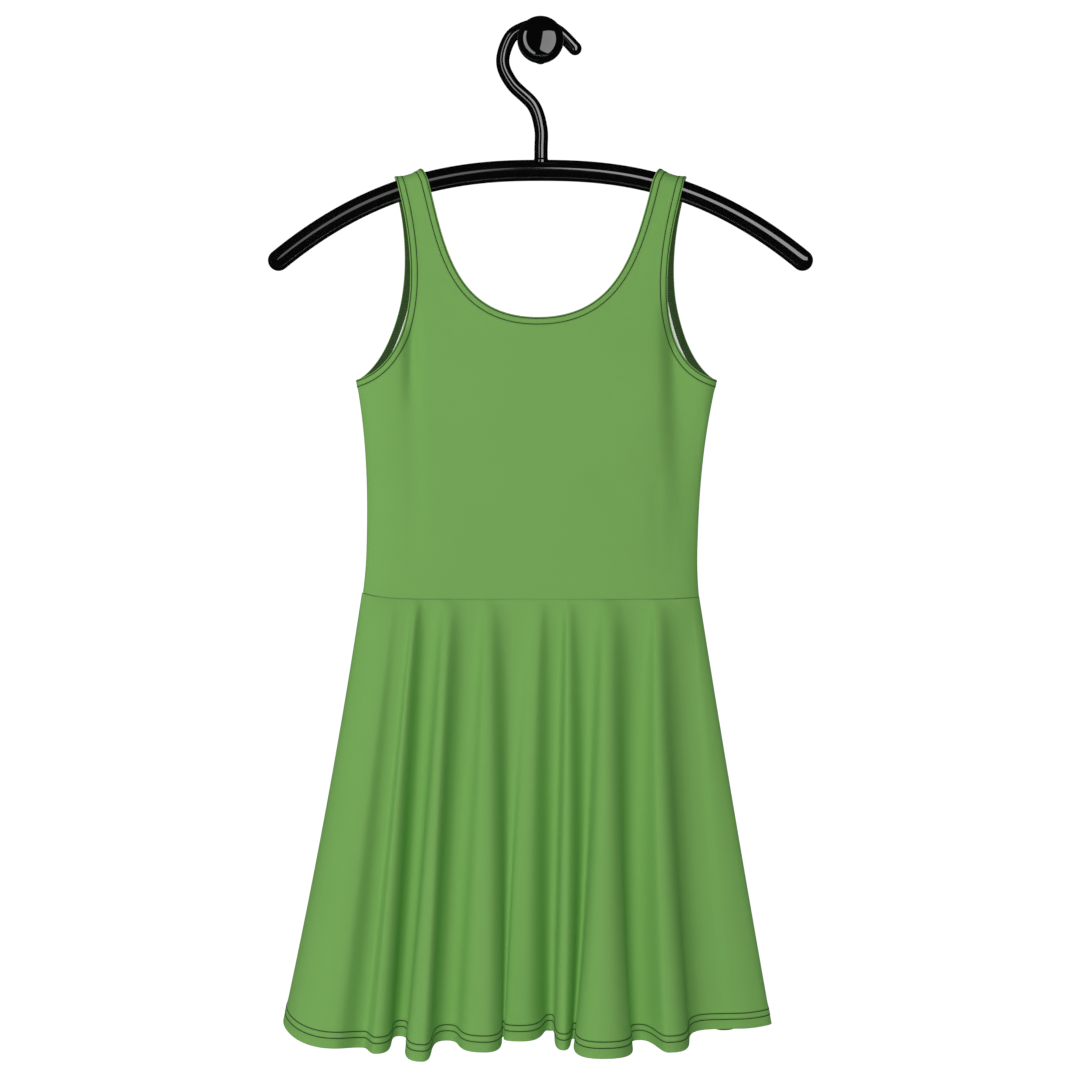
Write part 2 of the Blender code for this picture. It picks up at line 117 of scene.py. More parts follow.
def smooth_table(rows: Sequence[tuple[float, float]], x):
    """Value at x of a smooth curve through (x, value) rows, which may run either way.

    Args:
        rows: The points that the curve goes through.
        x: Where to read it, a number or an array.

    Returns:
        The curve's value there, held level past both ends.
    """
    known = np.array(sorted(rows))
    at, value = known[:, 0], known[:, 1]
    before, after = np.arange(len(at)) - 1, np.arange(len(at)) + 1
    before[0], after[-1] = 0, len(at) - 1
    slope = (value[after] - value[before]) / (at[after] - at[before])
    x = np.clip(x, at[0], at[-1])
    low = np.clip(np.searchsorted(at, x) - 1, 0, len(at) - 2)
    span = at[low + 1] - at[low]
    t = (x - at[low]) / span
    return (value[low] * (1 + 2 * t) * (1 - t) ** 2 + slope[low] * span * t * (1 - t) ** 2
            + value[low + 1] * t * t * (3 - 2 * t) + slope[low + 1] * span * t * t * (t - 1))


def bezier(a, b, c, d, t):
    """Value at t on the cubic curve with control values a to d."""
    return a * (1 - t) ** 3 + 3 * b * t * (1 - t) ** 2 + 3 * c * t * t * (1 - t) + d * t ** 3


def spline_route(points: Sequence[tuple[float, float]], per_span: int) -> list[tuple[float, float]]:
    """Points of a smooth curve through the given (x, height) points.

    Args:
        points: The points that it goes through.
        per_span: Points made for each stretch between two of them.

    Returns:
        The curve's points, the last given one included.
    """
    ends = [points[0], *points, points[-1]]
    route = []
    for a, b, c, d in zip(ends, ends[1:], ends[2:], ends[3:]):
        for step in range(per_span):
            t = step / per_span
            route.append(tuple(
                0.5 * (2 * b[k] + (c[k] - a[k]) * t + (2 * a[k] - 5 * b[k] + 4 * c[k] - d[k]) * t * t
                       + (3 * b[k] - a[k] - 3 * c[k] + d[k]) * t ** 3) for k in range(2)))
    return route + [points[-1]]


def lengths_along(points: Array) -> Array:
    """Distance from the first point to each point of a line.

    Args:
        points: The line's points, one a row.

    Returns:
        The distances, starting with 0.
    """
    steps = np.linalg.norm(np.diff(points, axis=0), axis=1)
    return np.concatenate([[0.0], np.cumsum(steps)])


def normals_of(points: Array, along: Array, across: Array) -> Array:
    """Unit normals of a sheet of points.

    Args:
        points: The sheet, rows by columns by 3.
        along: Each row's place, rising.
        across: Each column's place, rising.

    Returns:
        Normals pointing to the side of (along x across).
    """
    cross = np.cross(np.gradient(points, along, axis=0), np.gradient(points, across, axis=1))
    return cross / np.linalg.norm(cross, axis=2, keepdims=True)


class Layers(NamedTuple):
    """What a cloth mesh remembers at each vertex."""

    across: bmesh.types.BMLayerItem
    down: bmesh.types.BMLayerItem
    # shade: painted shade in seam and stitch grooves and on turned edges' inner layer; turned: painted fold
    # shade on steep walls
    shade: bmesh.types.BMLayerItem
    turned: bmesh.types.BMLayerItem


def cloth_layers(shape: bmesh.types.BMesh) -> Layers:
    """The vertex layers of a cloth mesh, made on first use."""
    floats = shape.verts.layers.float
    names = ("grain_across", "grain_down", "shade", "turned")
    return Layers(*(floats.get(name) or floats.new(name) for name in names))


def lay_grid(shape: bmesh.types.BMesh, points: Array, grain: Array, shade: Array) -> None:
    """Adds a sheet whose points lie as given.

    Args:
        shape: The mesh it is added to.
        points: Rows by columns by 3, in the hanging plane's frame.
        grain: Rows by columns by 2, the place on the flat cut, in millimetres.
        shade: Rows by columns, how much painted shade darkens the cloth.
    """
    layers = cloth_layers(shape)
    rows, columns = points.shape[0] - 1, points.shape[1] - 1
    made = bmesh.ops.create_grid(shape, x_segments=columns, y_segments=rows, size=1.0)
    for vertex in made["verts"]:
        column = round((vertex.co.x + 1.0) / 2.0 * columns)
        row = round((vertex.co.y + 1.0) / 2.0 * rows)
        vertex.co = points[row, column] * MM
        vertex[layers.across], vertex[layers.down] = grain[row, column]
        vertex[layers.shade] = shade[row, column]


def in_scene(name: str, data: bpy.types.ID) -> bpy.types.Object:
    """A new object in the scene.

    Args:
        name: Its name.
        data: Its mesh, curve, light or camera.

    Returns:
        The object.
    """
    made = bpy.data.objects.new(name, data)
    bpy.context.scene.collection.objects.link(made)
    return made


def new_piece(name: str, shape: bmesh.types.BMesh, materials: Sequence[bpy.types.Material]) -> bpy.types.Object:
    """Turns a mesh into a piece of the dress that rides with it.

    Args:
        name: The piece's name.
        shape: Its mesh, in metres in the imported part's frame. It is freed.
        materials: Its materials, in the order that the faces use.

    Returns:
        The piece.
    """
    mesh = bpy.data.meshes.new(name)
    shape.to_mesh(mesh)
    shape.free()
    mesh.shade_smooth()
    for material in materials:
        mesh.materials.append(material)
    piece = in_scene(name, mesh)
    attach(piece, BODY)
    return piece


def into_room(shape: bmesh.types.BMesh) -> None:
    """Moves a mesh from the hanging plane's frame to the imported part's frame."""
    bmesh.ops.translate(shape, verts=shape.verts, vec=(0.0, -HANG_DISTANCE * MM, 0.0))


def cloth_piece(name: str, shape: bmesh.types.BMesh, side: Side, jersey: "Jersey") -> bpy.types.Object:
    """A jersey piece: the sheet is its printed face, and Solidify gives it its thickness.

    Args:
        name: The piece's name.
        shape: The sheet, in the hanging plane's frame.
        side: The way it faces.
        jersey: The cloth.

    Returns:
        The piece.
    """
    bmesh.ops.remove_doubles(shape, verts=shape.verts, dist=MERGE_DISTANCE)
    bmesh.ops.recalc_face_normals(shape, faces=shape.faces)
    facing = sum(face.normal.y * face.calc_area() for face in shape.faces)
    if facing * side.value < 0:
        bmesh.ops.reverse_faces(shape, faces=shape.faces)
    layers = cloth_layers(shape)
    shape.normal_update()
    # Painted fold shade, kept in the 'turned' layer: steep walls get a deeper green, fully where they face away
    # from the key light on the left and only a share where they face it.
    for vertex in shape.verts:
        shade_share = 1.0 if vertex.normal.x > 0.0 else LIT_WALL_SHADE
        vertex[layers.turned] = shade_share * (1.0 - abs(vertex.normal.y))
    cut = shape.loops.layers.uv.new("cut")
    for face in shape.faces:
        for loop in face.loops:
            loop[cut].uv = (loop.vert[layers.across] * MM, loop.vert[layers.down] * MM)
    into_room(shape)
    piece = new_piece(name, shape, (jersey.printed(), jersey.unprinted()))
    wall = piece.modifiers.new("wall", "SOLIDIFY")
    wall.thickness = jersey.thickness * MM
    wall.offset = -1.0
    wall.material_offset = 1
    wall.material_offset_rim = 0
    return piece


# Materials

class Nodes:
    """A material's node tree, with short ways to add to it."""

    def __init__(self, name: str) -> None:
        """Starts a material with its shader."""
        self.material = bpy.data.materials.new(name)
        self.material.use_nodes = True
        self.tree = self.material.node_tree
        self.shader = self.tree.nodes["Principled BSDF"]

    def add(self, kind: str, **settings):
        """Adds a node.

        Args:
            kind: Its type, without the ShaderNode in front.
            settings: Properties of the node, and numbers or links for its inputs by name or place.

        Returns:
            The node.
        """
        node = self.tree.nodes.new("ShaderNode" + kind)
        inputs = settings.pop("inputs", {})
        for key, value in settings.items():
            setattr(node, key, value)
        for key, value in inputs.items():
            if isinstance(value, bpy.types.NodeSocket):
                self.tree.links.new(value, node.inputs[key])
            else:
                node.inputs[key].default_value = value
        return node

    def math(self, operation: str, first, second=0.0):
        """A Math node's result.

        Args:
            operation: What it does.
            first: Its first input, a number or a socket.
            second: Its second input.

        Returns:
            The result's socket.
        """
        return self.add("Math", operation=operation, inputs={0: first, 1: second}).outputs[0]

    def blend(self, share, first, second):
        """A colour between two others.

        Args:
            share: How much of the second, a number or a socket.
            first: Colour or socket at share 0.
            second: Colour or socket at share 1.

        Returns:
            The colour's socket.
        """
        node = self.add("Mix", data_type="RGBA", inputs={0: share, 6: first, 7: second})
        return node.outputs[2]

    def noise(self, coordinates, scale: float, detail: float = 3.0):
        """Noise at a scale, from 0 to 1."""
        node = self.add("TexNoise", inputs={"Vector": coordinates, "Scale": scale, "Detail": detail})
        return node.outputs[0]

    def relief(self, height, depth: float, strength: float) -> None:
        """Raises the surface by a height, from 0 to 1, to a depth in millimetres.

        Args:
            height: The height's socket.
            depth: The depth at height 1.
            strength: How much of it the light sees.
        """
        bump = self.add("Bump", inputs={"Height": height, "Distance": depth * MM, "Strength": strength})
        self.set(Normal=bump.outputs[0])

    def set(self, **values: float) -> None:
        """Sets or links the shader's inputs, whose names are given with _ for a space."""
        for name, value in values.items():
            socket = self.shader.inputs[name.replace("_", " ")]
            if isinstance(value, bpy.types.NodeSocket):
                self.tree.links.new(value, socket)
            else:
                socket.default_value = value


def srgb(red: int, green: int, blue: int) -> Colour:
    """A colour given as it looks on screen, from 0 to 255, as the light that it stands for."""
    def light(level: int) -> float:
        """One channel."""
        share = level / 255.0
        return share / 12.92 if share <= 0.04045 else ((share + 0.055) / 1.055) ** 2.4
    return light(red), light(green), light(blue), 1.0


@dataclass(frozen=True)
class Jersey:
    """Smooth stretch jersey: printed outside, bare inside, with its knit in the bump."""

    green: Colour = srgb(118, 167, 89)
    worn_green: Colour = srgb(113, 162, 84)
    fold_shade_green: Colour = srgb(99, 158, 76)  # painted shade: a deeper green on the steep walls of folds, for their shade and the light bounced between them
    # painted shade: the darkest green, for grooves along seams and stitch rows and for turned edges' inner
    # layer
    shade_green: Colour = srgb(36, 56, 28)
    bare: Colour = srgb(232, 234, 230)
    bare_green: Colour = srgb(216, 224, 210)
    thickness: float = 0.7
    wale: float = 0.75        # width of a column of stitches
    course: float = 0.6       # height of a row of stitches
    knit_depth: float = 0.05
    knit_strength: float = 0.35
    loop_height: float = 0.35  # of a stitch's loops, where a column's own roundness is 1

    def knit(self, nodes: Nodes) -> None:
        """Adds the relief of the stitches: columns of small Vs.

        Args:
            nodes: The material it is added to.
        """
        place = nodes.add("UVMap", uv_map="cut").outputs[0]
        parts = nodes.add("SeparateXYZ", inputs={0: place})
        wale = nodes.math("FRACT", nodes.math("DIVIDE", parts.outputs[0], self.wale * MM))
        arm = nodes.math("ABSOLUTE", nodes.math("SUBTRACT", wale, 0.5))
        course = nodes.math("DIVIDE", parts.outputs[1], self.course * MM)
        ring = nodes.math("MULTIPLY", nodes.math("ADD", course, arm), math.tau)
        loops = nodes.math("MULTIPLY", nodes.math("SINE", ring), self.loop_height)
        column = nodes.math("COSINE", nodes.math("MULTIPLY", arm, 2.0 * math.tau))
        nodes.relief(nodes.math("SUBTRACT", loops, column), self.knit_depth, self.knit_strength)

    def printed(self) -> bpy.types.Material:
        """The printed face."""
        made = bpy.data.materials.get("printed_jersey")
        if made:
            return made
        nodes = Nodes("printed_jersey")
        place = nodes.add("UVMap", uv_map="cut").outputs[0]
        broad = nodes.noise(place, 9.0)
        fine = nodes.noise(place, 420.0, 2.0)
        tone = nodes.blend(broad, self.green, self.worn_green)
        flecked = nodes.blend(nodes.math("MULTIPLY", fine, 0.35), tone, self.worn_green)
        # Painted fold shade on steep walls, read from the 'turned' layer.
        turned = nodes.add("Attribute", attribute_name="turned").outputs["Fac"]
        fold_shaded = nodes.blend(turned, flecked, self.fold_shade_green)
        # Painted shade from the 'shade' layer: grooves along seams and stitch rows, and turned edges' inner
        # layer.
        shade = nodes.add("Attribute", attribute_name="shade").outputs["Fac"]
        nodes.set(Base_Color=nodes.blend(shade, fold_shaded, self.shade_green))
        nodes.set(Roughness=0.74, Specular_IOR_Level=0.16, Sheen_Weight=0.03, Sheen_Roughness=0.45)
        nodes.shader.inputs["Sheen Tint"].default_value = srgb(200, 226, 180)
        self.knit(nodes)
        return nodes.material

    def unprinted(self) -> bpy.types.Material:
        """The inside, where only a breath of the print shows through."""
        made = bpy.data.materials.get("unprinted_jersey")
        if made:
            return made
        nodes = Nodes("unprinted_jersey")
        place = nodes.add("UVMap", uv_map="cut").outputs[0]
        nodes.set(Base_Color=nodes.blend(nodes.noise(place, 260.0), self.bare, self.bare_green))
        nodes.set(Roughness=0.8, Specular_IOR_Level=0.2, Sheen_Weight=0.04)
        self.knit(nodes)
        return nodes.material


@dataclass(frozen=True)
class ThreadFinish:
    """Green polyester sewing thread, twisted from two plies."""

    name: str
    dark: Colour
    light: Colour

    def material(self) -> bpy.types.Material:
        """The thread's material, with its twist in colour and bump."""
        made = bpy.data.materials.get(self.name)
        if made:
            return made
        nodes = Nodes(self.name)
        place = nodes.add("TexCoord").outputs["Object"]
        plies = nodes.noise(place, 2600.0, 2.0)
        nodes.set(Base_Color=nodes.blend(plies, self.dark, self.light), Roughness=0.55)
        nodes.relief(plies, 0.04, 0.5)
        return nodes.material


@dataclass(frozen=True)
class GlossBlack:
    """Black moulded plastic or lacquer: a deep gloss with faint handling marks."""

    name: str
    colour: Colour
    roughness: float
    marks: float

    def material(self) -> bpy.types.Material:
        """The finish's material."""
        nodes = Nodes(self.name)
        place = nodes.add("TexCoord").outputs["Object"]
        cloudy = nodes.noise(place, 18.0)
        rubbed = nodes.noise(place, 240.0, 4.0)
        spread = nodes.math("MULTIPLY", nodes.math("ADD", cloudy, rubbed), self.marks)
        nodes.set(Roughness=nodes.math("ADD", spread, self.roughness))
        nodes.set(Base_Color=nodes.blend(cloudy, self.colour, srgb(8, 8, 9)), IOR=1.5)
        nodes.relief(rubbed, 0.01, 0.12)
        return nodes.material


# Sewn edges

@dataclass(frozen=True)
class TurnedEdge:
    """An edge turned in once and sewn with two needles.

    Distances are measured from the fold. The two layers stand a little proud of the cloth beside
    them, puff up between the two rows, and are pressed in along each row.
    """

    allowance: float
    rows: tuple[float, float]
    fold_radius: float = 0.8
    proud: float = 0.35
    puff: float = 0.16
    groove: float = 0.24
    groove_width: float = 0.7
    row_shade_width: float = 0.5   # of the painted groove shade along a row
    row_shade: float = 0.8   # how dark that painted shade is
    # painted shade on the turned-in inner layer, which lies in the outer cloth's shade
    inner_shade: float = 0.95
    fade: float = 3.0
    least_step: float = 0.12  # between two vertices

    def relief(self, distance):
        """How far the outer face lies below the plain cloth's face, less than 0 where it stands proud.

        Args:
            distance: From the fold, a number or an array.

        Returns:
            The depth, towards the inside.
        """
        near, far = self.rows
        proud = self.proud * (1 - smooth_step(self.allowance - 0.6, self.allowance + self.fade, distance))
        between = np.clip((distance - near) / (far - near), 0.0, 1.0)
        puff = self.puff * np.sin(np.pi * between) ** 2
        grooves = self.groove * sum(bell(distance - row, self.groove_width) for row in self.rows)
        return grooves - puff - proud

    def distances(self) -> list[float]:
        """Distances of the outer face's vertices, from the fold to plain cloth."""
        near, far = self.rows
        beside = self.groove_width * 1.1
        marks = {self.fold_radius, mix(near, far, 0.35), mix(near, far, 0.65), self.allowance,
                 self.allowance + self.fade / 2, self.allowance + self.fade}
        for row in self.rows:
            marks |= {row - beside, row - beside / 2, row, row + beside / 2, row + beside}
        kept = [0.0]
        for mark in sorted(marks):
            if mark - kept[-1] > self.least_step:
                kept.append(mark)
        return kept

    def section(self) -> list[tuple[float, float, float]]:
        """The edge's cross-section, from the raw edge inside, round the fold, to plain cloth.

        Returns:
            Rows of distance from the fold, depth towards the inside, and shade.
        """
        inside = 2 * self.fold_radius - self.proud
        radius = self.fold_radius
        section = [(distance, inside - 0.5 * (self.relief(distance) + self.proud), self.inner_shade)
                   for distance in reversed(self.distances())
                   if radius < distance <= self.allowance]
        # Painted shade covers the fold's innermost part, so that a thin lit green rim shows at the edge.
        for degrees in (180, 144, 108, 72, 36, 0):
            turn = math.radians(degrees)
            depth = radius * (1 - math.cos(turn)) - self.proud
            section.append((radius * (1 - math.sin(turn)), depth, self.inner_shade * (degrees > 150)))
        for distance in self.distances():
            if distance > radius + 0.05:
                # Painted groove shade along each needle row.
                shade = sum(bell(distance - row, self.row_shade_width) for row in self.rows)
                section.append((distance, self.relief(distance), self.row_shade * shade))
        return section


SEAM_GAP = 0.04           # between two panels that are sewn together
SEAM_RADIUS = 0.8         # the cloth rolls into a seam


def seam_roll(distance):
    """How far the cloth has rolled in beside a seam.

    Args:
        distance: From the seam, a number or an array.

    Returns:
        The depth, 0 where the cloth is plain.
    """
    short = np.clip(SEAM_RADIUS - distance, 0.0, SEAM_RADIUS)
    return SEAM_RADIUS - np.sqrt(SEAM_RADIUS ** 2 - short ** 2)


SEAM_STATIONS = (0.0, 0.12, 0.35, 0.8)  # distances of the first rows of vertices beside a seam
WAIST_STATIONS = (*SEAM_STATIONS, 1.6, 3.0)
CORNER_STATIONS = (*WAIST_STATIONS, 5.0, 7.0, 9.0)
SEAM_SHADE = 0.55         # how dark the painted shade in the waist seam's groove makes the cloth
SEAM_SHADE_WIDTH = 0.45          # width of that painted shade


def seam_shade(distance):
    """Painted shade beside the waist seam's groove at a distance from it, a number or an array."""
    return SEAM_SHADE * bell(distance, SEAM_SHADE_WIDTH)


STITCH_SHARES = np.array([0.04, 0.24, 0.5, 0.76, 0.96])  # where a needle stitch's points lie along it
STITCH_WIDTHS = np.array([0.6, 1.0, 1.05, 1.0, 0.6])     # how thick its thread is at each


@dataclass(frozen=True)
class Coverstitch:
    """Two rows of needle thread outside and a looper thread zigzagging between them inside."""

    pitch: float = 2.4
    thread: float = 0.8
    looper: float = 0.5
    sink: float = 0.3         # how deep a needle stitch's ends go into the cloth
    shoulder: float = 0.1     # how high its thread stands beside them
    crown: float = 0.16       # and at its middle
    looper_lift: float = 0.2
    sides: int = 1            # bevel resolution of a thread
    needle_finish: ThreadFinish = ThreadFinish("needle_thread", srgb(22, 32, 18), srgb(38, 52, 30))
    looper_finish: ThreadFinish = ThreadFinish("looper_thread", srgb(78, 96, 66), srgb(122, 142, 108))

    def tube(self, name: str, lines: Sequence[tuple[Array, Array]], thickness: float,
             finish: bpy.types.Material) -> bpy.types.Object:
        """Thread along many short lines, as one mesh.

        Args:
            name: The piece's name.
            lines: Points, in the hanging plane's frame, and the thread's relative thickness at each.
            thickness: The thread's diameter.
            finish: Its material.

        Returns:
            The piece.
        """
        curve = bpy.data.curves.new(name, "CURVE")
        curve.dimensions = "3D"
        curve.bevel_depth = thickness / 2 * MM
        curve.bevel_resolution = self.sides
        curve.use_fill_caps = True
        for points, widths in lines:
            spline = curve.splines.new("POLY")
            spline.points.add(len(points) - 1)
            for place, point, width in zip(spline.points, points, widths):
                place.co = (*(point * MM), 1.0)
                place.radius = width
        holder = in_scene(name, curve)
        bpy.context.view_layer.update()
        evaluated = holder.evaluated_get(bpy.context.evaluated_depsgraph_get())
        mesh = bpy.data.meshes.new_from_object(evaluated)
        shape = bmesh.new()
        shape.from_mesh(mesh)
        bpy.data.objects.remove(holder)
        bpy.data.curves.remove(curve)
        bpy.data.meshes.remove(mesh)
        bmesh.ops.remove_doubles(shape, verts=shape.verts, dist=MERGE_DISTANCE / 10)
        into_room(shape)
        return new_piece(name, shape, (finish,))

    def row(self, points: Array, normals: Array) -> list[tuple[Array, Array]]:
        """Needle stitches along one row.

        Args:
            points: The row on the cloth's face.
            normals: Outward, at each point.

        Returns:
            A short line for each stitch.
        """
        reach = lengths_along(points)
        stitches = max(round(reach[-1] / self.pitch), 1)
        pitch = reach[-1] / stitches
        lines = []
        for number in range(stitches):
            shares = (number + STITCH_SHARES) * pitch
            place = np.stack([np.interp(shares, reach, points[:, k]) for k in range(3)], axis=1)
            up = np.stack([np.interp(shares, reach, normals[:, k]) for k in range(3)], axis=1)
            lift = np.array([-self.sink, self.shoulder, self.crown, self.shoulder, -self.sink])
            lines.append((place + up * lift[:, None], STITCH_WIDTHS))
        return lines

    def loops(self, near: Array, far: Array, inward: Array) -> list[tuple[Array, Array]]:
        """The looper thread inside, from row to row and back.

        Args:
            near: The row beside the fold, on the inner face.
            far: The other row.
            inward: Direction off the inner face at each point of the rows.

        Returns:
            One long zigzag line.
        """
        reach = lengths_along(near)
        stitches = max(round(reach[-1] / self.pitch), 1)
        at = np.linspace(0.0, reach[-1], 2 * stitches + 1)
        index = np.arange(len(at))
        line = np.zeros((len(at), 3))
        for k in range(3):
            on_near = np.interp(at, reach, near[:, k] + inward[:, k] * self.looper_lift)
            on_far = np.interp(at, reach, far[:, k] + inward[:, k] * self.looper_lift)
            line[:, k] = np.where(index % 2 == 0, on_near, on_far)
        return [(line, np.ones(len(line)))]

    def sew(self, name: str, paths: Sequence["SewnPath"]) -> list[bpy.types.Object]:
        """All thread of one edge.

        Args:
            name: What is sewn.
            paths: Where the rows run.

        Returns:
            The needle thread's piece and the looper thread's.
        """
        outside, inside = [], []
        for path in paths:
            for points, normals in path.needle_rows:
                outside += self.row(points, normals)
            inside += self.loops(*path.looper)
        return [self.tube(f"{name}_needle_thread", outside, self.thread, self.needle_finish.material()),
                self.tube(f"{name}_looper_thread", inside, self.looper, self.looper_finish.material())]


class SewnPath(NamedTuple):
    """Where one edge's thread runs."""

    needle_rows: list[tuple[Array, Array]]
    looper: tuple[Array, Array, Array]


def turned_sheet(shape: bmesh.types.BMesh, edge: TurnedEdge, base: Array, normals: Array,
                 grain: Array) -> SewnPath:
    """Adds an edge's cloth: inner layer, fold and outer face, over a base sheet.

    Args:
        shape: The mesh it is added to.
        edge: The edge's cross-section.
        base: Points of the cloth's plain face, rows along the edge by the edge's distances by 3.
        normals: Outward, at each of them.
        grain: Places on the flat cut.

    Returns:
        Where its thread runs.
    """
    distances = np.array(edge.distances())
    section = edge.section()

    def read(sheet: Array, distance: float) -> Array:
        """A column of a sheet at a distance from the fold."""
        high = int(np.clip(np.searchsorted(distances, distance), 1, len(distances) - 1))
        share = (distance - distances[high - 1]) / (distances[high] - distances[high - 1])
        return mix(sheet[:, high - 1], sheet[:, high], share)

    def stand(distance: float, depth: float) -> Array:
        """Points at a distance from the fold and a depth below the plain face."""
        return read(base, distance) - read(normals, distance) * depth

    points = np.stack([stand(distance, depth) for distance, depth, _ in section], axis=1)
    grains = np.stack([read(grain, distance) for distance, _, _ in section], axis=1)
    shades = np.broadcast_to(np.array([shade for _, _, shade in section]), points.shape[:2])
    lay_grid(shape, points, grains, shades)
    inside = 2 * edge.fold_radius - edge.proud
    near, far = edge.rows
    rows = [(stand(row, float(edge.relief(row))), read(normals, row)) for row in edge.rows]
    return SewnPath(rows, (stand(max(near - 0.6, edge.fold_radius), inside), stand(far + 0.5, inside),
                           -read(normals, mix(near, far, 0.5))))


# The dress's own shape

@dataclass(frozen=True)
class Silhouette:
    """The dress's half width, its lean, and its waist seam, the same for front and back."""

    bust_height: float = -317.5
    bust_half: float = 171.4
    nip_height: float = -479.0
    nip_half: float = 157.4
    side_power: float = 2.4
    waist_height: float = -525.6
    waist_half: float = 160.4
    waist_rises: tuple[float, float] = (6.0, 2.0)  # at the left and the right side seam
    seam_ease: float = 0.4    # how deep the waist seam draws in at its middle
    waist_depth: float = 14.0
    side_roundness: float = 8.0
    lean_start: float = -150.0
    lean_at_waist: float = 9.4
    lean_at_hem: float = 10.7
    lean_power: float = 1.12
    hem_drop: float = 412.0

    def half(self, height):
        """Half width between the side seams."""
        share = np.clip((height - self.nip_height) / (self.bust_height - self.nip_height), 0.0, 1.0)
        above = (self.bust_half - self.nip_half) * share ** self.side_power
        fall = np.clip((self.nip_height - height) / (self.nip_height - self.waist_height), 0.0, 1.0)
        return self.nip_half + above + (self.waist_half - self.nip_half) * fall ** 2

    def lean(self, height):
        """Sideways shift of the hanging cloth."""
        share = np.clip(self.lean_start - height, 0.0, None) / (self.lean_start - self.waist_height)
        below = np.clip((self.waist_height - height) / self.hem_drop, 0.0, None)
        return -np.where(share < 1.0, self.lean_at_waist * np.minimum(share, 1.0) ** self.lean_power,
                         mix(self.lean_at_waist, self.lean_at_hem, below))

    def roundness(self, share):
        """Depth of a panel's plan curve, from 1 in its middle to 0 at its side seams."""
        return np.sqrt(np.clip(1.0 - np.clip(np.abs(share), 0.0, 1.0) ** self.side_roundness, 0.0, 1.0))

    def waist_share(self, x):
        """Place across the waist, from -1 at the left seam to 1 at the right."""
        return np.clip((x + self.lean_at_waist) / self.waist_half, -1.0, 1.0)

    def waist_seam(self, x):
        """Height of the waist seam."""
        share = self.waist_share(x)
        left, right = self.waist_rises
        return self.waist_height + np.where(share < 0.0, left, right) * np.abs(share) ** self.side_roundness

    def seam_pull(self, x):
        """How deep the waist seam draws the cloth in: fully at its ends and less in its middle."""
        return mix(self.seam_ease, 1.0, self.waist_share(x) ** 2)

    def waist_curve(self, x):
        """Depth of both panels at the waist seam."""
        return self.waist_depth * self.roundness(self.waist_share(x))


@dataclass(frozen=True)
class Bar:
    """The hanger's bar, which sags towards both ends."""

    radius: float = 10.0
    half_span: float = 249.2
    middle: float = -118.1
    sag: float = 85.6
    sag_power: float = 2.4
    end_angles: tuple[float, ...] = (12.0, 24.0, 36.0, 48.0, 58.0, 68.0, 77.0, 85.0)

    def height(self, x):
        """Height of the centre line."""
        return self.middle - self.sag * (np.abs(x) / self.half_span) ** self.sag_power

    def stretch(self, x):
        """Height over thickness of an upright cut through the sloping bar."""
        steepening = (np.abs(x) / self.half_span) ** (self.sag_power - 1)
        return np.hypot(1.0, self.sag * self.sag_power / self.half_span * steepening)


class Handle(NamedTuple):
    """A Bezier handle: its length, and its sideways way for each step up or down."""

    length: float
    slope: float


class Crease(NamedTuple):
    """A soft trough in the cloth, from its top to its foot, with a width for each of its walls."""

    x_top: float
    top: float
    x_foot: float
    foot: float
    left_width: float
    right_width: float
    depth: float


CREASE_ONSET = 0.18       # share of a crease's length over which it deepens
CREASE_FADE = 0.45        # share of its length from which it flattens again


def crease_depth(creases: Sequence[Crease], x, height):
    """How far creases press the cloth in.

    Args:
        creases: The creases.
        x: Across the dress, a number or an array.
        height: The height.

    Returns:
        The depth.
    """
    depth = np.zeros(np.broadcast(x, height).shape)
    for crease in creases:
        share = (crease.top - height) / (crease.top - crease.foot)
        fade = smooth_step(0.0, CREASE_ONSET, share) * (1 - smooth_step(CREASE_FADE, 1.0, share))
        away = x - mix(crease.x_top, crease.x_foot, share)
        width = np.where(away < 0.0, crease.left_width, crease.right_width)
        depth = depth + crease.depth * fade * bell(away, width)
    return depth


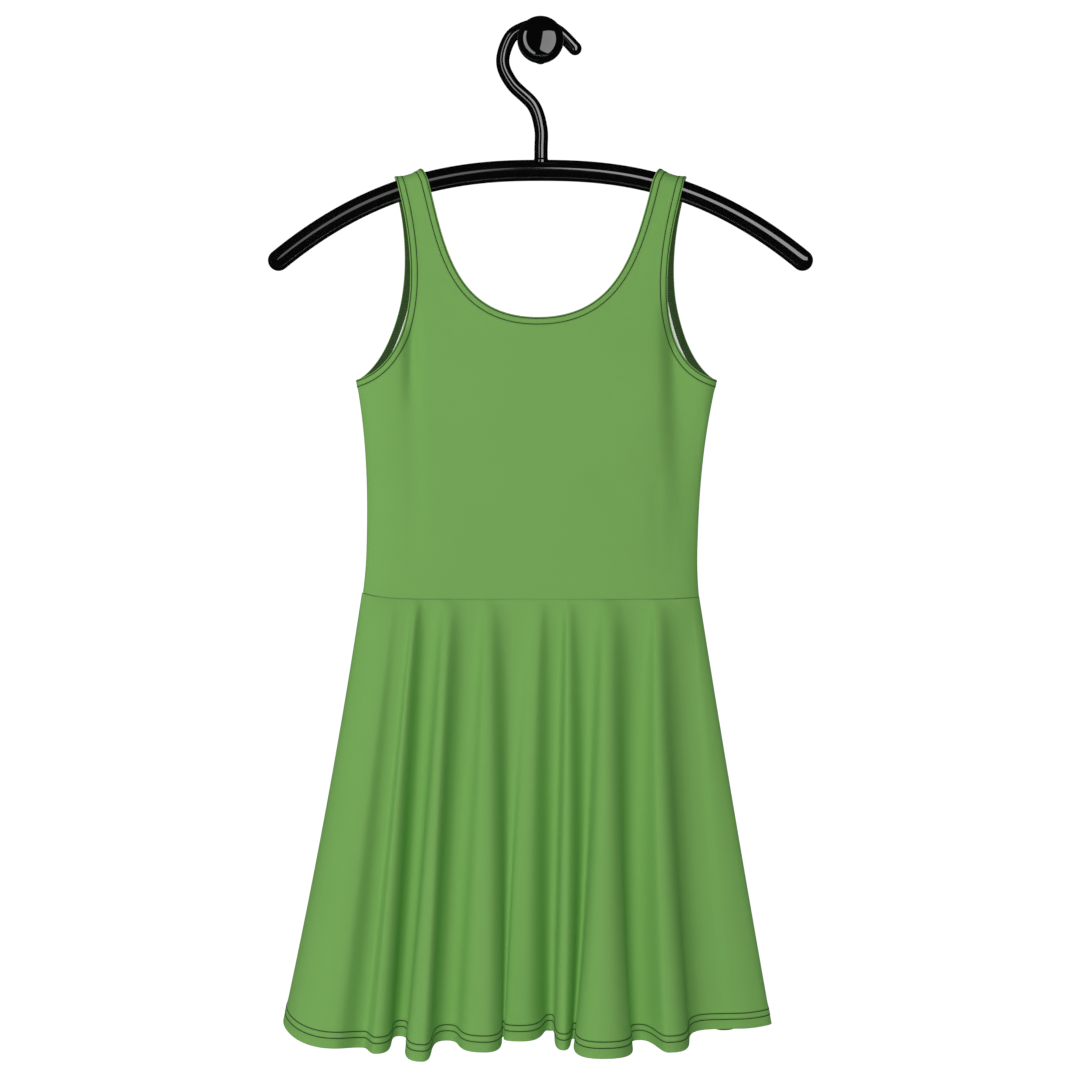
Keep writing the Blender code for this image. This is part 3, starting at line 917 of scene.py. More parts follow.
@dataclass(frozen=True)
class BodicePanel:
    """One bodice panel with its two straps, sewn round the neck and both armholes."""

    name: str
    node: str
    side: Side
    neck_height: float
    neck_flat: float
    neck_rise: Handle
    strap_inner: float
    strap_outer: float
    arm_top: Handle
    arm_foot: Handle
    depths: tuple[tuple[float, float], ...]
    creases: tuple[Crease, ...]
    outline: Silhouette = Silhouette()
    bar: Bar = Bar()
    edge: TurnedEdge = TurnedEdge(allowance=7.6, rows=(1.5, 6.9))
    strap_clearance: float = 0.5
    strap_lift: float = 3.0
    strap_sag: float = 2.2    # between its two hems, on top of the bar
    cad_wall: float = 1.2
    top_inner: float = 114.6
    top_outer: float = 138.9
    rows_above: int = 92      # rows of faces along the neckline and the armhole, below the bar
    wrap_steps: int = 12      # rows of faces over the bar
    crossing: int = 40        # columns of faces between the two turned edges
    row_step: float = 5.0     # height of a row below the armholes
    top_sag: float = 170.0    # slopes of the row where body and yoke meet
    top_sag_side: float = 130.0
    samples: int = 600        # points that measure an edge's length
    way_step: float = 1e-4    # of an edge's parameter, over which its direction is taken
    side_settle: float = 22.0  # rows over which the armhole's edge comes away from the side seam
    bar_settle: float = 12.0  # rows over which an edge turns to run as the strap does

    def strap_width(self) -> float:
        """Width of the strap where it meets the bar, along the sloping bar."""
        return (self.strap_outer - self.strap_inner) * float(self.bar.stretch(self.strap_inner))

    def drape(self, hand: int, half, height) -> Array:
        """Points of the plain face below the bar.

        Args:
            hand: -1 for the left half and 1 for the right.
            half: Distance from the centre line of the cut.
            height: The height.

        Returns:
            Points in the hanging plane's frame.
        """
        share = half / self.outline.half(height)
        x = hand * half + self.outline.lean(height)
        above = smooth_step(self.outline.bust_height, float(self.bar.height(self.strap_outer)), height)
        depth = smooth_table(self.depths, height) - crease_depth(self.creases, x, height)
        depth = depth * mix(self.outline.roundness(share), 1.0, above)
        return np.stack([x, self.side.value * (depth + SEAM_GAP / 2), height], axis=-1)

    def over_bar(self, hand: int, share, angle) -> Array:
        """Points of the plain face where the strap bends over the bar.

        Args:
            hand: -1 or 1.
            share: Across the strap, from the neckline's edge to the armhole's.
            angle: From level, in radians, up to the shoulder seam at a quarter turn.

        Returns:
            Points in the hanging plane's frame.
        """
        rise = angle / (math.pi / 2)
        inner = mix(self.strap_inner, self.top_inner, rise)
        half = mix(inner, mix(self.strap_outer, self.top_outer, rise), share)
        sag = self.strap_sag * (1.0 - np.abs(2 * share - 1) ** 3)
        lift = (self.bar.radius + self.strap_lift + self.cad_wall - sag) * np.sin(angle)
        depth = (self.bar.radius + self.strap_clearance + self.cad_wall) * np.cos(angle)
        height = self.bar.height(half) + lift * self.bar.stretch(half)
        return np.stack([hand * half, self.side.value * (depth + SEAM_GAP / 2) + 0 * half, height], axis=-1)

    def neckline(self, t) -> tuple[Array, Array]:
        """Half distance and height along the neckline, from its middle up to the bar."""
        top = float(self.bar.height(self.strap_inner))
        reach = self.neck_rise.length / math.hypot(1.0, self.neck_rise.slope)
        aim = self.strap_inner - reach * self.neck_rise.slope
        half = bezier(0.0, self.neck_flat, aim, self.strap_inner, t)
        return half, bezier(self.neck_height, self.neck_height, top - reach, top, t)

    def armhole(self, t) -> tuple[Array, Array]:
        """Half distance and height along the armhole, from the side seam up to the bar."""
        top = float(self.bar.height(self.strap_outer))
        fall = self.arm_top.length / math.hypot(1.0, self.arm_top.slope)
        reach = self.arm_foot.length / math.hypot(1.0, self.arm_foot.slope)
        bust, foot = self.outline.bust_half, self.outline.bust_height
        aim = self.strap_outer - fall * self.arm_top.slope
        half = bezier(bust, bust - reach, aim, self.strap_outer, t)
        return half, bezier(foot, foot + reach * self.arm_foot.slope, top - fall, top, t)

    def spread(self, curve: Callable[[Array], tuple[Array, Array]], near_seam: bool) -> Array:
        """Curve parameters of the rows along an edge.

        Args:
            curve: The edge.
            near_seam: Whether it starts at the side seam, where the panel turns sharply.

        Returns:
            rows_above + 1 parameters from 0 to 1.
        """
        fine = np.linspace(0.0, 1.0, self.samples)
        reach = lengths_along(np.stack(curve(fine), axis=1))
        if not near_seam:
            return np.interp(np.linspace(0.0, reach[-1], self.rows_above + 1), reach, fine)
        corner = [self.beside_seam(depth) for depth in CORNER_STATIONS]
        rest = np.linspace(corner[-1], reach[-1], self.rows_above + 2 - len(corner))[1:]
        return np.interp(np.concatenate([corner, rest]), reach, fine)

    def beside_seam(self, depth: float) -> float:
        """Distance in from the side seam at which the panel has come out by a depth."""
        full = float(smooth_table(self.depths, self.outline.bust_height))
        share = (1.0 - (depth / full) ** 2) ** (1.0 / self.outline.side_roundness)
        return self.outline.bust_half * (1.0 - share)

    def flank(self, curve: Callable[[Array], tuple[Array, Array]], inwards: int) -> tuple[Array, Array]:
        """Half distance and height over a turned edge's width, below the bar.

        Args:
            curve: The edge.
            inwards: 1 where the cloth lies on the armhole's side of it and -1 on the neckline's.

        Returns:
            Two sheets, rows along the edge by the edge's distances.
        """
        is_arm = inwards < 0
        t = self.spread(curve, is_arm)
        half, height = curve(t)
        ahead, behind = curve(np.minimum(t + self.way_step, 1.0)), curve(np.maximum(t - self.way_step, 0.0))
        way = np.stack([ahead[0] - behind[0], ahead[1] - behind[1]], axis=1)
        way /= np.linalg.norm(way, axis=1, keepdims=True)
        distances = np.array(self.edge.distances())
        halves = half[:, None] + inwards * way[:, 1:2] * distances
        heights = height[:, None] - inwards * way[:, 0:1] * distances
        if is_arm:
            share = halves / self.outline.half(heights)
            row = np.arange(len(t))[:, None]
            share = share + (1.0 - share[0]) * (1 - smooth_step(0.0, self.side_settle, row))
            halves = share * self.outline.half(heights)
        else:
            halves[0] = 0.0
        across = distances / self.strap_width()
        on_bar = mix(self.strap_inner, self.strap_outer, 1.0 - across if is_arm else across)
        settle = smooth_step(len(t) - self.bar_settle, len(t) - 1.0, np.arange(len(t)))[:, None]
        return mix(halves, on_bar, settle), mix(heights, self.bar.height(on_bar), settle)

    def wrap_angles(self) -> Array:
        """Angles of the rows over the bar, closer together beside the shoulder seam."""
        top = self.bar.radius + self.strap_clearance + self.cad_wall
        seam = [math.pi / 2 - depth / top for depth in reversed(SEAM_STATIONS)]
        even = np.linspace(0.0, seam[0], self.wrap_steps + 1)[1:-1]
        return np.concatenate([even, seam])

    def roll_in(self, hand: int, points: Array, over_bar) -> Array:
        """Rolls the face into the side, waist and shoulder seams.

        Args:
            hand: -1 or 1.
            points: Points on or under the face.
            over_bar: 1 for the points over the bar, else 0.

        Returns:
            The moved points.
        """
        moved = points.copy()
        from_plane = np.abs(points[..., 1]) - SEAM_GAP / 2
        beside = seam_roll(np.clip(from_plane, 0.0, None))
        moved[..., 0] -= hand * beside * (1 - over_bar)
        moved[..., 2] -= beside * over_bar
        from_waist = points[..., 2] - self.outline.waist_seam(points[..., 0]) - SEAM_GAP / 2
        waist_roll = seam_roll(np.clip(from_waist, 0.0, None)) * self.outline.seam_pull(points[..., 0])
        moved[..., 1] -= self.side.value * waist_roll * (from_plane > 1.0)
        return moved

    def up_and_over(self, hand: int, halves: Array, heights: Array, share: Array) -> tuple[Array, Array]:
        """Points of the plain face up to the bar and on over it.

        Args:
            hand: -1 or 1.
            halves: Half distances below the bar.
            heights: Heights below the bar.
            share: Each column's place across the strap.

        Returns:
            The points, and a column that says which of their rows are over the bar.
        """
        angles = self.wrap_angles()
        below = self.drape(hand, halves, heights)
        above = self.over_bar(hand, share[None, :], angles[:, None])
        over = np.concatenate([np.zeros(len(below)), np.ones(len(above))])[:, None]
        return np.concatenate([below, above]), over

    def band(self, shape: bmesh.types.BMesh, hand: int, halves: Array, heights: Array,
             is_arm: bool) -> SewnPath:
        """Adds a turned edge of one half.

        Args:
            shape: The mesh.
            hand: -1 or 1.
            halves: Half distances below the bar.
            heights: Heights below the bar.
            is_arm: Whether it is the armhole.

        Returns:
            Where its thread runs.
        """
        distances = np.array(self.edge.distances())
        across = distances / self.strap_width()
        base, over = self.up_and_over(hand, halves, heights, 1.0 - across if is_arm else across)
        reach = lengths_along(base[:, -1])
        normals = normals_of(base, reach, distances)
        flip = np.where((normals * np.array([hand, self.side.value, 1.0])).sum(axis=2) < 0, -1.0, 1.0)
        normals = normals * flip[..., None]
        if not is_arm:
            normals[0, :, 0] = 0.0
            normals[0] /= np.linalg.norm(normals[0], axis=1, keepdims=True)
        return turned_sheet(shape, self.edge, self.roll_in(hand, base, over), normals, base[..., [0, 2]])

    def side_columns(self) -> Array:
        """Shares from the centre line to the side seam of the body's columns."""
        corner = [1.0 - self.beside_seam(depth) / self.outline.bust_half
                  for depth in (*CORNER_STATIONS, 11.0, 12.5)]
        even = np.linspace(0.0, corner[-1], self.crossing + 2 - len(corner))[:-1]
        return np.concatenate([even, corner[::-1]])

    def meeting_height(self, share: Array, centre: float, side: float) -> Array:
        """Height of the line where body and yoke meet.

        Args:
            share: From the centre line to the side seam.
            centre: Its height at the centre line.
            side: Its height at the side seam.

        Returns:
            The heights.
        """
        return bezier(centre, centre - self.top_sag / 3, side - self.top_sag_side / 3, side, share)

    def half_panel(self, shape: bmesh.types.BMesh, hand: int) -> tuple[SewnPath, SewnPath]:
        """Adds one half: both turned edges, the yoke between them and the body below.

        Args:
            shape: The mesh.
            hand: -1 or 1.

        Returns:
            Where the neckline's and the armhole's thread runs.
        """
        neck_half, neck_height = self.flank(self.neckline, 1)
        arm_half, arm_height = self.flank(self.armhole, -1)
        neck_path = self.band(shape, hand, neck_half, neck_height, False)
        arm_path = self.band(shape, hand, arm_half, arm_height, True)
        share = self.side_columns()
        self.body(shape, hand, share, neck_height[0, -1], arm_height[0, -1])
        self.yoke(shape, hand, share, (neck_half[:, -1], neck_height[:, -1]),
                  (arm_half[:, -1], arm_height[:, -1]))
        return neck_path, arm_path

    def body(self, shape: bmesh.types.BMesh, hand: int, share: Array, centre: float, side: float) -> None:
        """Adds the cloth from the waist seam up to the yoke.

        Args:
            shape: The mesh.
            hand: -1 or 1.
            share: Shares of its columns, from the centre line to the side seam.
            centre: Height of its top at the centre line.
            side: Height of its top at the side seam.
        """
        top = self.meeting_height(share, centre, side)
        waist_x = hand * share * self.outline.waist_half - self.outline.lean_at_waist
        foot = self.outline.waist_seam(waist_x) + SEAM_GAP / 2
        tall = centre - self.outline.waist_height
        seam = np.array(WAIST_STATIONS) / tall
        steps = round(tall / self.row_step)
        up = np.concatenate([seam, np.linspace(seam[-1], 1.0, steps)[1:]])[:, None]
        heights = mix(foot[None, :], top[None, :], up)
        base = self.drape(hand, share[None, :] * self.outline.half(heights), heights)
        # Painted seam shade, darker towards the seam's ends and fainter in its middle.
        shade = seam_shade(up * tall) * self.outline.seam_pull(base[..., 0])
        lay_grid(shape, self.roll_in(hand, base, 0.0), base[..., [0, 2]], shade)

    def yoke(self, shape: bmesh.types.BMesh, hand: int, share: Array, neck: tuple[Array, Array],
             arm: tuple[Array, Array]) -> None:
        """Adds the cloth between the neckline's and the armhole's turned edges, and over the bar.

        Args:
            shape: The mesh.
            hand: -1 or 1.
            share: Shares of its bottom row, as on the body.
            neck: Half distances and heights of its neckline side.
            arm: Half distances and heights of its armhole side.
        """
        left = np.stack([neck[0] / self.outline.half(neck[1]), neck[1]], axis=1)
        right = np.stack([arm[0] / self.outline.half(arm[1]), arm[1]], axis=1)
        low = np.stack([share, self.meeting_height(share, neck[1][0], arm[1][0])], axis=1)
        even = (share - share[0]) / (share[-1] - share[0])
        across = mix(neck[0][-1], arm[0][-1], even)
        on_bar = self.bar.height(across)
        high = np.stack([across / self.outline.half(on_bar), on_bar], axis=1)
        u, v = even[None, :, None], np.linspace(0.0, 1.0, len(left))[:, None, None]
        sides = mix(left[:, None], right[:, None], u)
        ends = mix(low[None], high[None], v)
        corners = mix(mix(left[0], right[0], u), mix(left[-1], right[-1], u), v)
        patch = sides + ends - corners
        heights = patch[..., 1]
        halves = patch[..., 0] * self.outline.half(heights)
        margin = self.edge.distances()[-1] / self.strap_width()
        base, over = self.up_and_over(hand, halves, heights, mix(margin, 1.0 - margin, even))
        lay_grid(shape, self.roll_in(hand, base, over), base[..., [0, 2]], np.zeros(base.shape[:2]))

    def build(self, jersey: Jersey, stitch: Coverstitch) -> list[bpy.types.Object]:
        """Makes the panel and its thread.

        Args:
            jersey: The cloth.
            stitch: How its edges are sewn.

        Returns:
            The panel first, and then the thread's pieces.
        """
        shape = bmesh.new()
        cloth_layers(shape)
        paths = {hand: self.half_panel(shape, hand) for hand in (-1, 1)}
        panel = cloth_piece(self.name, shape, self.side, jersey)
        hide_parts(self.node)
        neck = joined(paths[-1][0], paths[1][0])
        thread = stitch.sew(f"{self.name}_neckline", [neck])
        thread += stitch.sew(f"{self.name}_left_armhole", [paths[-1][1]])
        thread += stitch.sew(f"{self.name}_right_armhole", [paths[1][1]])
        return [panel, *thread]


def joined(left: SewnPath, right: SewnPath) -> SewnPath:
    """One path from the end of the left half's, through the middle, to the end of the right half's.

    Args:
        left: From the middle out.
        right: From the middle out.

    Returns:
        The whole path.
    """
    def chain(a: Array, b: Array) -> Array:
        """Two columns of rows as one, the middle row once."""
        return np.concatenate([a[::-1], b[1:]])

    rows = [(chain(a[0], b[0]), chain(a[1], b[1])) for a, b in zip(left.needle_rows, right.needle_rows)]
    return SewnPath(rows, tuple(chain(a, b) for a, b in zip(left.looper, right.looper)))


class Fold(NamedTuple):
    """A fold line from waist seam to hem; SkirtPanel says how its numbers are read."""

    name: str
    waist: float
    middle: float
    hem: float
    depth: float
    drop: float
    left_reach: float
    right_reach: float


@dataclass(frozen=True)
class SkirtPanel:
    """One flared skirt panel, which hangs in folds and is hemmed with two needles.

    A fold's waist, middle and hem are x; its depth is at the hem, and its drop is how far the hem
    lies below the waist seam there. Its reaches say how far it spreads to its left and right at the
    hem, as a share of the way to the next fold line: past 1 it overhangs the wall beside it.
    """

    name: str
    node: str
    side: Side
    folds: tuple[Fold, ...]
    flat: tuple[float, float]
    flat_area: float
    outline: Silhouette = Silhouette()
    edge: TurnedEdge = TurnedEdge(allowance=16.6, rows=(9.3, 14.9), fade=4.0, puff=0.2)
    middle_of_drop: float = 0.46
    growth_power: float = 0.62
    growth_onset: float = 0.006
    seam_bow: float = 0.6
    crest_waist_reach: float = 0.3
    recess_waist_reach: float = 0.7
    per_fold: int = 14
    row_step: float = 4.5
    waist_arc: float = 330.0
    hem_arc: float = 993.0

    def fold_x(self, number, share):
        """Place of fold lines at a share of the drop.

        Args:
            number: Which fold lines, an array.
            share: Share of the drop, an array.

        Returns:
            x of each.
        """
        table = np.array([(fold.waist, fold.middle, fold.hem) for fold in self.folds])
        middle = self.middle_of_drop
        at_waist = (share - middle) * (share - 1) / middle
        at_middle = share * (share - 1) / (middle * (middle - 1))
        at_hem = share * (share - middle) / (1 - middle)
        waist, mid, hem = table[number].T
        return waist * at_waist + mid * at_middle + hem * at_hem

    def growth(self, share):
        """How much of a fold has come out at a share of the drop."""
        onset = self.growth_onset
        grown = np.sqrt(share ** 2 + onset ** 2) - onset
        return (grown / (math.hypot(1.0, onset) - onset)) ** self.growth_power

    def surface(self, along: Array, share: Array) -> Array:
        """Points of the plain face.

        Args:
            along: Fold lines from the left seam, one value a column.
            share: Share of the drop, one value a row.

        Returns:
            Rows by columns by 3, in the hanging plane's frame.
        """
        first = np.minimum(along.astype(int), len(self.folds) - 2)
        t = (along - first)[None, :]
        share = share[:, None]
        xa, xb = self.fold_x(first, share), self.fold_x(first + 1, share)
        numbers = np.array([(fold.depth, fold.drop, fold.left_reach, fold.right_reach)
                            for fold in self.folds])
        depth_a, drop_a, _, right = numbers[first].T
        depth_b, drop_b, left, _ = numbers[first + 1].T
        crest, recess = self.crest_waist_reach, self.recess_waist_reach
        waist_a = np.where(depth_a > depth_b, crest, recess)
        waist_b = crest + recess - waist_a
        reach_a = np.where(right > 0, mix(waist_a, right, share), 0.0)
        reach_b = np.where(left > 0, mix(waist_b, left, share), 0.0)
        x = bezier(xa, mix(xa, xb, reach_a), mix(xb, xa, reach_b), xb, t)
        bow_a = np.where(right > 0, depth_a, self.seam_bow * depth_b)
        bow_b = np.where(left > 0, depth_b, self.seam_bow * depth_a)
        fold_depth = bezier(depth_a, bow_a, bow_b, depth_b, t)
        waist = np.array([fold.waist for fold in self.folds])
        wa, wb = waist[first], waist[first + 1]
        x_waist = bezier(wa, mix(wa, wb, waist_a * (right > 0)), mix(wb, wa, waist_b * (left > 0)), wb, t)
        depth = mix(self.outline.waist_curve(x_waist), fold_depth, self.growth(share))
        drop = share * bezier(drop_a, drop_a, drop_b, drop_b, t)
        height = self.outline.waist_seam(x_waist) - SEAM_GAP / 2 - drop
        return np.stack(np.broadcast_arrays(x, self.side.value * (depth + SEAM_GAP / 2), height), axis=-1)

    def columns(self) -> Array:
        """Where the columns lie, in fold lines from the left seam."""
        count = (len(self.folds) - 1) * self.per_fold
        even = np.arange(1, count) / self.per_fold
        seam = np.array([0.0, 0.0006, 0.003, 0.009, 0.02, 0.04])
        return np.concatenate([seam, even, len(self.folds) - 1 - seam[::-1]])

    def roll_in(self, points: Array) -> Array:
        """Rolls the face into the side seams and the waist seam.

        Args:
            points: Points of the face.

        Returns:
            The moved points.
        """
        moved = points.copy()
        from_plane = np.clip(np.abs(points[..., 1]) - SEAM_GAP / 2, 0.0, None)
        centre = points[:, :, 0].mean(axis=1, keepdims=True)
        moved[..., 0] -= np.sign(points[..., 0] - centre) * seam_roll(from_plane)
        fall = self.outline.waist_seam(points[..., 0]) - SEAM_GAP / 2 - points[..., 2]
        waist_roll = seam_roll(np.clip(fall, 0.0, None)) * self.outline.seam_pull(points[..., 0])
        moved[..., 1] -= self.side.value * waist_roll * (from_plane > 1.0)
        return moved

    def grain(self, points: Array, share: Array) -> Array:
        """Places on the flat cut, whose knit runs down the folds.

        Args:
            points: The face, rows by columns.
            share: Share of the drop of each row.

        Returns:
            Rows by columns by 2.
        """
        hem = lengths_along(points[-1])
        across = hem / hem[-1] - 0.5
        arc = mix(self.waist_arc, self.hem_arc, share)
        down = np.broadcast_to(-share[:, None] * self.outline.hem_drop, points.shape[:2])
        return np.stack([across[None, :] * arc[:, None], down], axis=-1)

    def build(self, jersey: Jersey, stitch: Coverstitch) -> list[bpy.types.Object]:
        """Makes the panel and its thread.

        Args:
            jersey: The cloth.
            stitch: How its hem is sewn.

        Returns:
            The panel first, and then the thread's pieces.
        """
        drop = self.outline.hem_drop
        distances = np.array(self.edge.distances())
        along = self.columns()
        seam = np.array([*WAIST_STATIONS, 5.0, 8.0])
        low = drop - distances[-1]
        steps = round((low - seam[-1]) / self.row_step)
        falls = np.concatenate([seam, np.linspace(seam[-1], low, steps)[1:]])
        shares = np.concatenate([falls, drop - distances[::-1][1:]]) / drop
        base = self.surface(along, shares)
        normals = normals_of(base, shares * drop, along)
        if normals[len(falls) // 2, len(along) // 2, 1] * self.side.value < 0:
            normals = -normals
        grain = self.grain(base, shares)
        rolled = self.roll_in(base)
        shape = bmesh.new()
        cloth_layers(shape)
        plain = slice(0, len(falls))
        # Painted seam shade, darker towards the seam's ends and fainter in its middle.
        shade = seam_shade(falls)[:, None] * self.outline.seam_pull(base[plain][..., 0])
        lay_grid(shape, rolled[plain], grain[plain], shade)
        hem = slice(len(falls) - 1, None)

        def turned(sheet: Array) -> Array:
            """Rows from the hem up as the edge's columns."""
            return sheet[hem][::-1].transpose(1, 0, 2)

        path = turned_sheet(shape, self.edge, turned(rolled), turned(normals), turned(grain))
        panel = cloth_piece(self.name, shape, self.side, jersey)
        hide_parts(self.node)
        thread = stitch.sew(f"{self.name}_hem", [path])
        return [panel, *thread]


def front_folds() -> tuple[Fold, ...]:
    """The front's fold lines, from the left seam to the right seam."""
    return (
        Fold("left_seam", -169.8, -200.5, -243.8, 0.0, 405.0, 0.0, 0.0),
        Fold("left_swell", -140.0, -163.0, -192.0, 64.0, 413.5, 0.6, 0.45),
        Fold("left_dip", -125.0, -142.0, -165.0, 51.0, 415.0, 0.45, 0.4),
        Fold("left_crest", -118.0, -134.0, -151.0, 74.0, 415.0, 0.5, 1.2),
        Fold("first_recess", -104.0, -115.0, -132.5, 21.0, 411.0, 0.8, 0.75),
        Fold("first_crest", -87.5, -96.0, -108.0, 86.0, 419.0, 1.25, 0.7),
        Fold("second_recess", -61.0, -75.0, -88.0, 34.0, 412.0, 1.05, 0.5),
        Fold("second_crest", -50.5, -51.0, -51.0, 70.0, 414.5, 0.9, 1.4),
        Fold("third_recess", -23.0, -28.0, -35.0, 24.0, 411.0, 0.3, 0.3),
        Fold("middle_crest", -1.0, -11.0, -18.0, 42.0, 411.0, 1.5, 0.9),
        Fold("fourth_recess", 17.0, 13.0, 9.0, 8.0, 408.0, 0.35, 0.75),
        Fold("narrow_crest", 25.5, 24.5, 21.5, 62.0, 414.5, 1.15, 0.9),
        Fold("slit", 43.0, 43.0, 30.5, 27.0, 412.0, 0.4, 0.3),
        Fold("broad_crest", 62.5, 59.0, 56.5, 92.0, 415.0, 1.6, 1.35),
        Fold("fifth_recess", 99.0, 89.0, 93.0, 26.0, 413.5, 0.6, 0.55),
        Fold("right_crest", 108.5, 110.0, 118.0, 67.0, 415.5, 0.35, 0.85),
        Fold("sixth_recess", 138.5, 148.0, 163.0, 6.0, 409.0, 0.95, 0.6),
        Fold("right_swell", 145.0, 164.0, 190.0, 10.0, 408.0, 0.4, 0.4),
        Fold("right_seam", 151.0, 181.5, 219.6, 0.0, 406.0, 0.0, 0.0))


@dataclass(frozen=True)
class EvenFolds:
    """The back's folds: even ones, pressed flat by the wall."""

    crest: float = 38.0
    recess: float = 6.0
    reach: float = 0.8
    sway: float = 2.6
    sway_rate: float = 2.1
    pairs: int = 11
    drop: float = 412.0

    def folds(self, left: Fold, right: Fold) -> tuple[Fold, ...]:
        """The fold lines between two side seams.

        Args:
            left: The left seam.
            right: The right seam.

        Returns:
            All of them, the seams included.
        """
        made = [left]
        for number in range(1, 2 * self.pairs):
            share = number / (2 * self.pairs)
            is_crest = number % 2
            sway = math.sin(number * self.sway_rate) * self.sway
            made.append(Fold(
                "back_crest" if is_crest else "back_recess", mix(left.waist, right.waist, share),
                mix(left.middle, right.middle, share) + sway / 2, mix(left.hem, right.hem, share) + sway,
                self.crest if is_crest else self.recess, self.drop, self.reach, self.reach))
        return (*made, right)


# Hanger and knob

def sweep(shape: bmesh.types.BMesh, stations: Sequence[Station], sides: int) -> None:
    """Adds a tube: a circle at each station, bridged to the next, with both ends closed.

    Args:
        shape: The mesh it is added to.
        stations: Centre, direction and radius of each circle, in millimetres.
        sides: Sides of the tube.
    """
    rings = []
    for centre, way, radius in stations:
        turn = way.to_track_quat("Z", "Y").to_matrix().to_4x4()
        place = Matrix.Translation(centre * MM) @ turn
        made = bmesh.ops.create_circle(shape, segments=sides, radius=radius * MM, matrix=place)
        rings.append(made["verts"])
    shape.verts.index_update()
    for ring, following in zip(rings, rings[1:]):
        edges = [edge for verts in (ring, following) for edge in ring_edges(verts)]
        bmesh.ops.bridge_loops(shape, edges=edges)
    for ring in (rings[0], rings[-1]):
        bmesh.ops.contextual_create(shape, geom=ring_edges(ring))


def ring_edges(verts: Sequence[bmesh.types.BMVert]) -> list[bmesh.types.BMEdge]:
    """The edges between a ring's own vertices."""
    own = set(verts)
    return list({edge for vert in verts for edge in vert.link_edges if set(edge.verts) <= own})


def stations_of(route: Sequence[tuple[float, float]], radii: Sequence[float]) -> list[Station]:
    """Circles along a route in the hanging plane.

    Args:
        route: x and height of each.
        radii: Its radius.

    Returns:
        Centre, direction and radius of each.
    """
    made = []
    for number, ((x, height), radius) in enumerate(zip(route, radii)):
        before, after = route[max(number - 1, 0)], route[min(number + 1, len(route) - 1)]
        way = Vector((after[0] - before[0], 0.0, after[1] - before[1])).normalized()
        made.append((Vector((x, 0.0, height)), way, radius))
    return made


def round_end(stations: list[Station], angles: Sequence[float]) -> None:
    """Rounds off a tube's last end with a half ball.

    Args:
        stations: The tube's circles, to which the end's are added.
        angles: Degrees from the last circle to each new one, seen from its centre.
    """
    centre, way, radius = stations[-1]
    for degrees in angles:
        angle = math.radians(degrees)
        stations.append((centre + way * radius * math.sin(angle), way, radius * math.cos(angle)))


@dataclass(frozen=True)
class Hanger:
    """A tube hanger moulded in black plastic, with its hook blended onto the bar."""

    bar: Bar = Bar()
    hook_radius: float = 6.4
    hook_route: tuple[tuple[float, float], ...] = (
        (0.5, -112.0), (0.5, -98.0), (0.3, -78.0), (-6.9, -56.1), (-27.1, -35.5), (-35.9, -15.0),
        (-29.0, 7.6), (-15.4, 17.0), (0.2, 19.6), (16.8, 13.6), (32.8, -2.2))
    fillet: float = 1.0       # how much wider the hook's foot is
    fillet_start: float = 3.0  # above the foot's middle, where it begins to thin
    fillet_length: float = 3.0
    route_steps: int = 12     # circles between two points of the hook's route
    bar_rings: int = 120
    sides: int = 48
    finish: GlossBlack = GlossBlack("gloss_hanger_plastic", srgb(3, 3, 4), 0.05, 0.02)

    def hook_width(self, above_foot: float) -> float:
        """The hook's radius at a height above its foot, where it flares onto the bar."""
        thinned = max(above_foot - self.fillet_start, 0.0) / self.fillet_length
        return self.hook_radius + self.fillet * max(1.0 - thinned, 0.0) ** 2

    def build(self) -> list[bpy.types.Object]:
        """Makes the bar and the hook."""
        finish = self.finish.material()
        span = np.linspace(-self.bar.half_span, self.bar.half_span, self.bar_rings + 1)
        route = [(float(x), float(self.bar.height(x))) for x in span]
        stations = stations_of(route, [self.bar.radius] * len(route))
        round_end(stations, self.bar.end_angles)
        stations.reverse()
        stations = [(centre, -way, radius) for centre, way, radius in stations]
        round_end(stations, self.bar.end_angles)
        bar = self.tube("hanger_tube", stations, finish)
        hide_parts("hanger_bar")
        route = spline_route(self.hook_route, self.route_steps)
        foot = route[0][1]
        stations = stations_of(route, [self.hook_width(height - foot) for _, height in route])
        round_end(stations, self.bar.end_angles)
        hook = self.tube("hanger_hook_tube", stations, finish)
        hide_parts("hanger_hook")
        return [bar, hook]

    def tube(self, name: str, stations: Sequence[Station], finish: bpy.types.Material) -> bpy.types.Object:
        """One tube of the hanger.

        Args:
            name: The piece's name.
            stations: Its circles.
            finish: Its material.

        Returns:
            The piece.
        """
        shape = bmesh.new()
        sweep(shape, stations, self.sides)
        bmesh.ops.recalc_face_normals(shape, faces=shape.faces)
        into_room(shape)
        return new_piece(name, shape, (finish,))


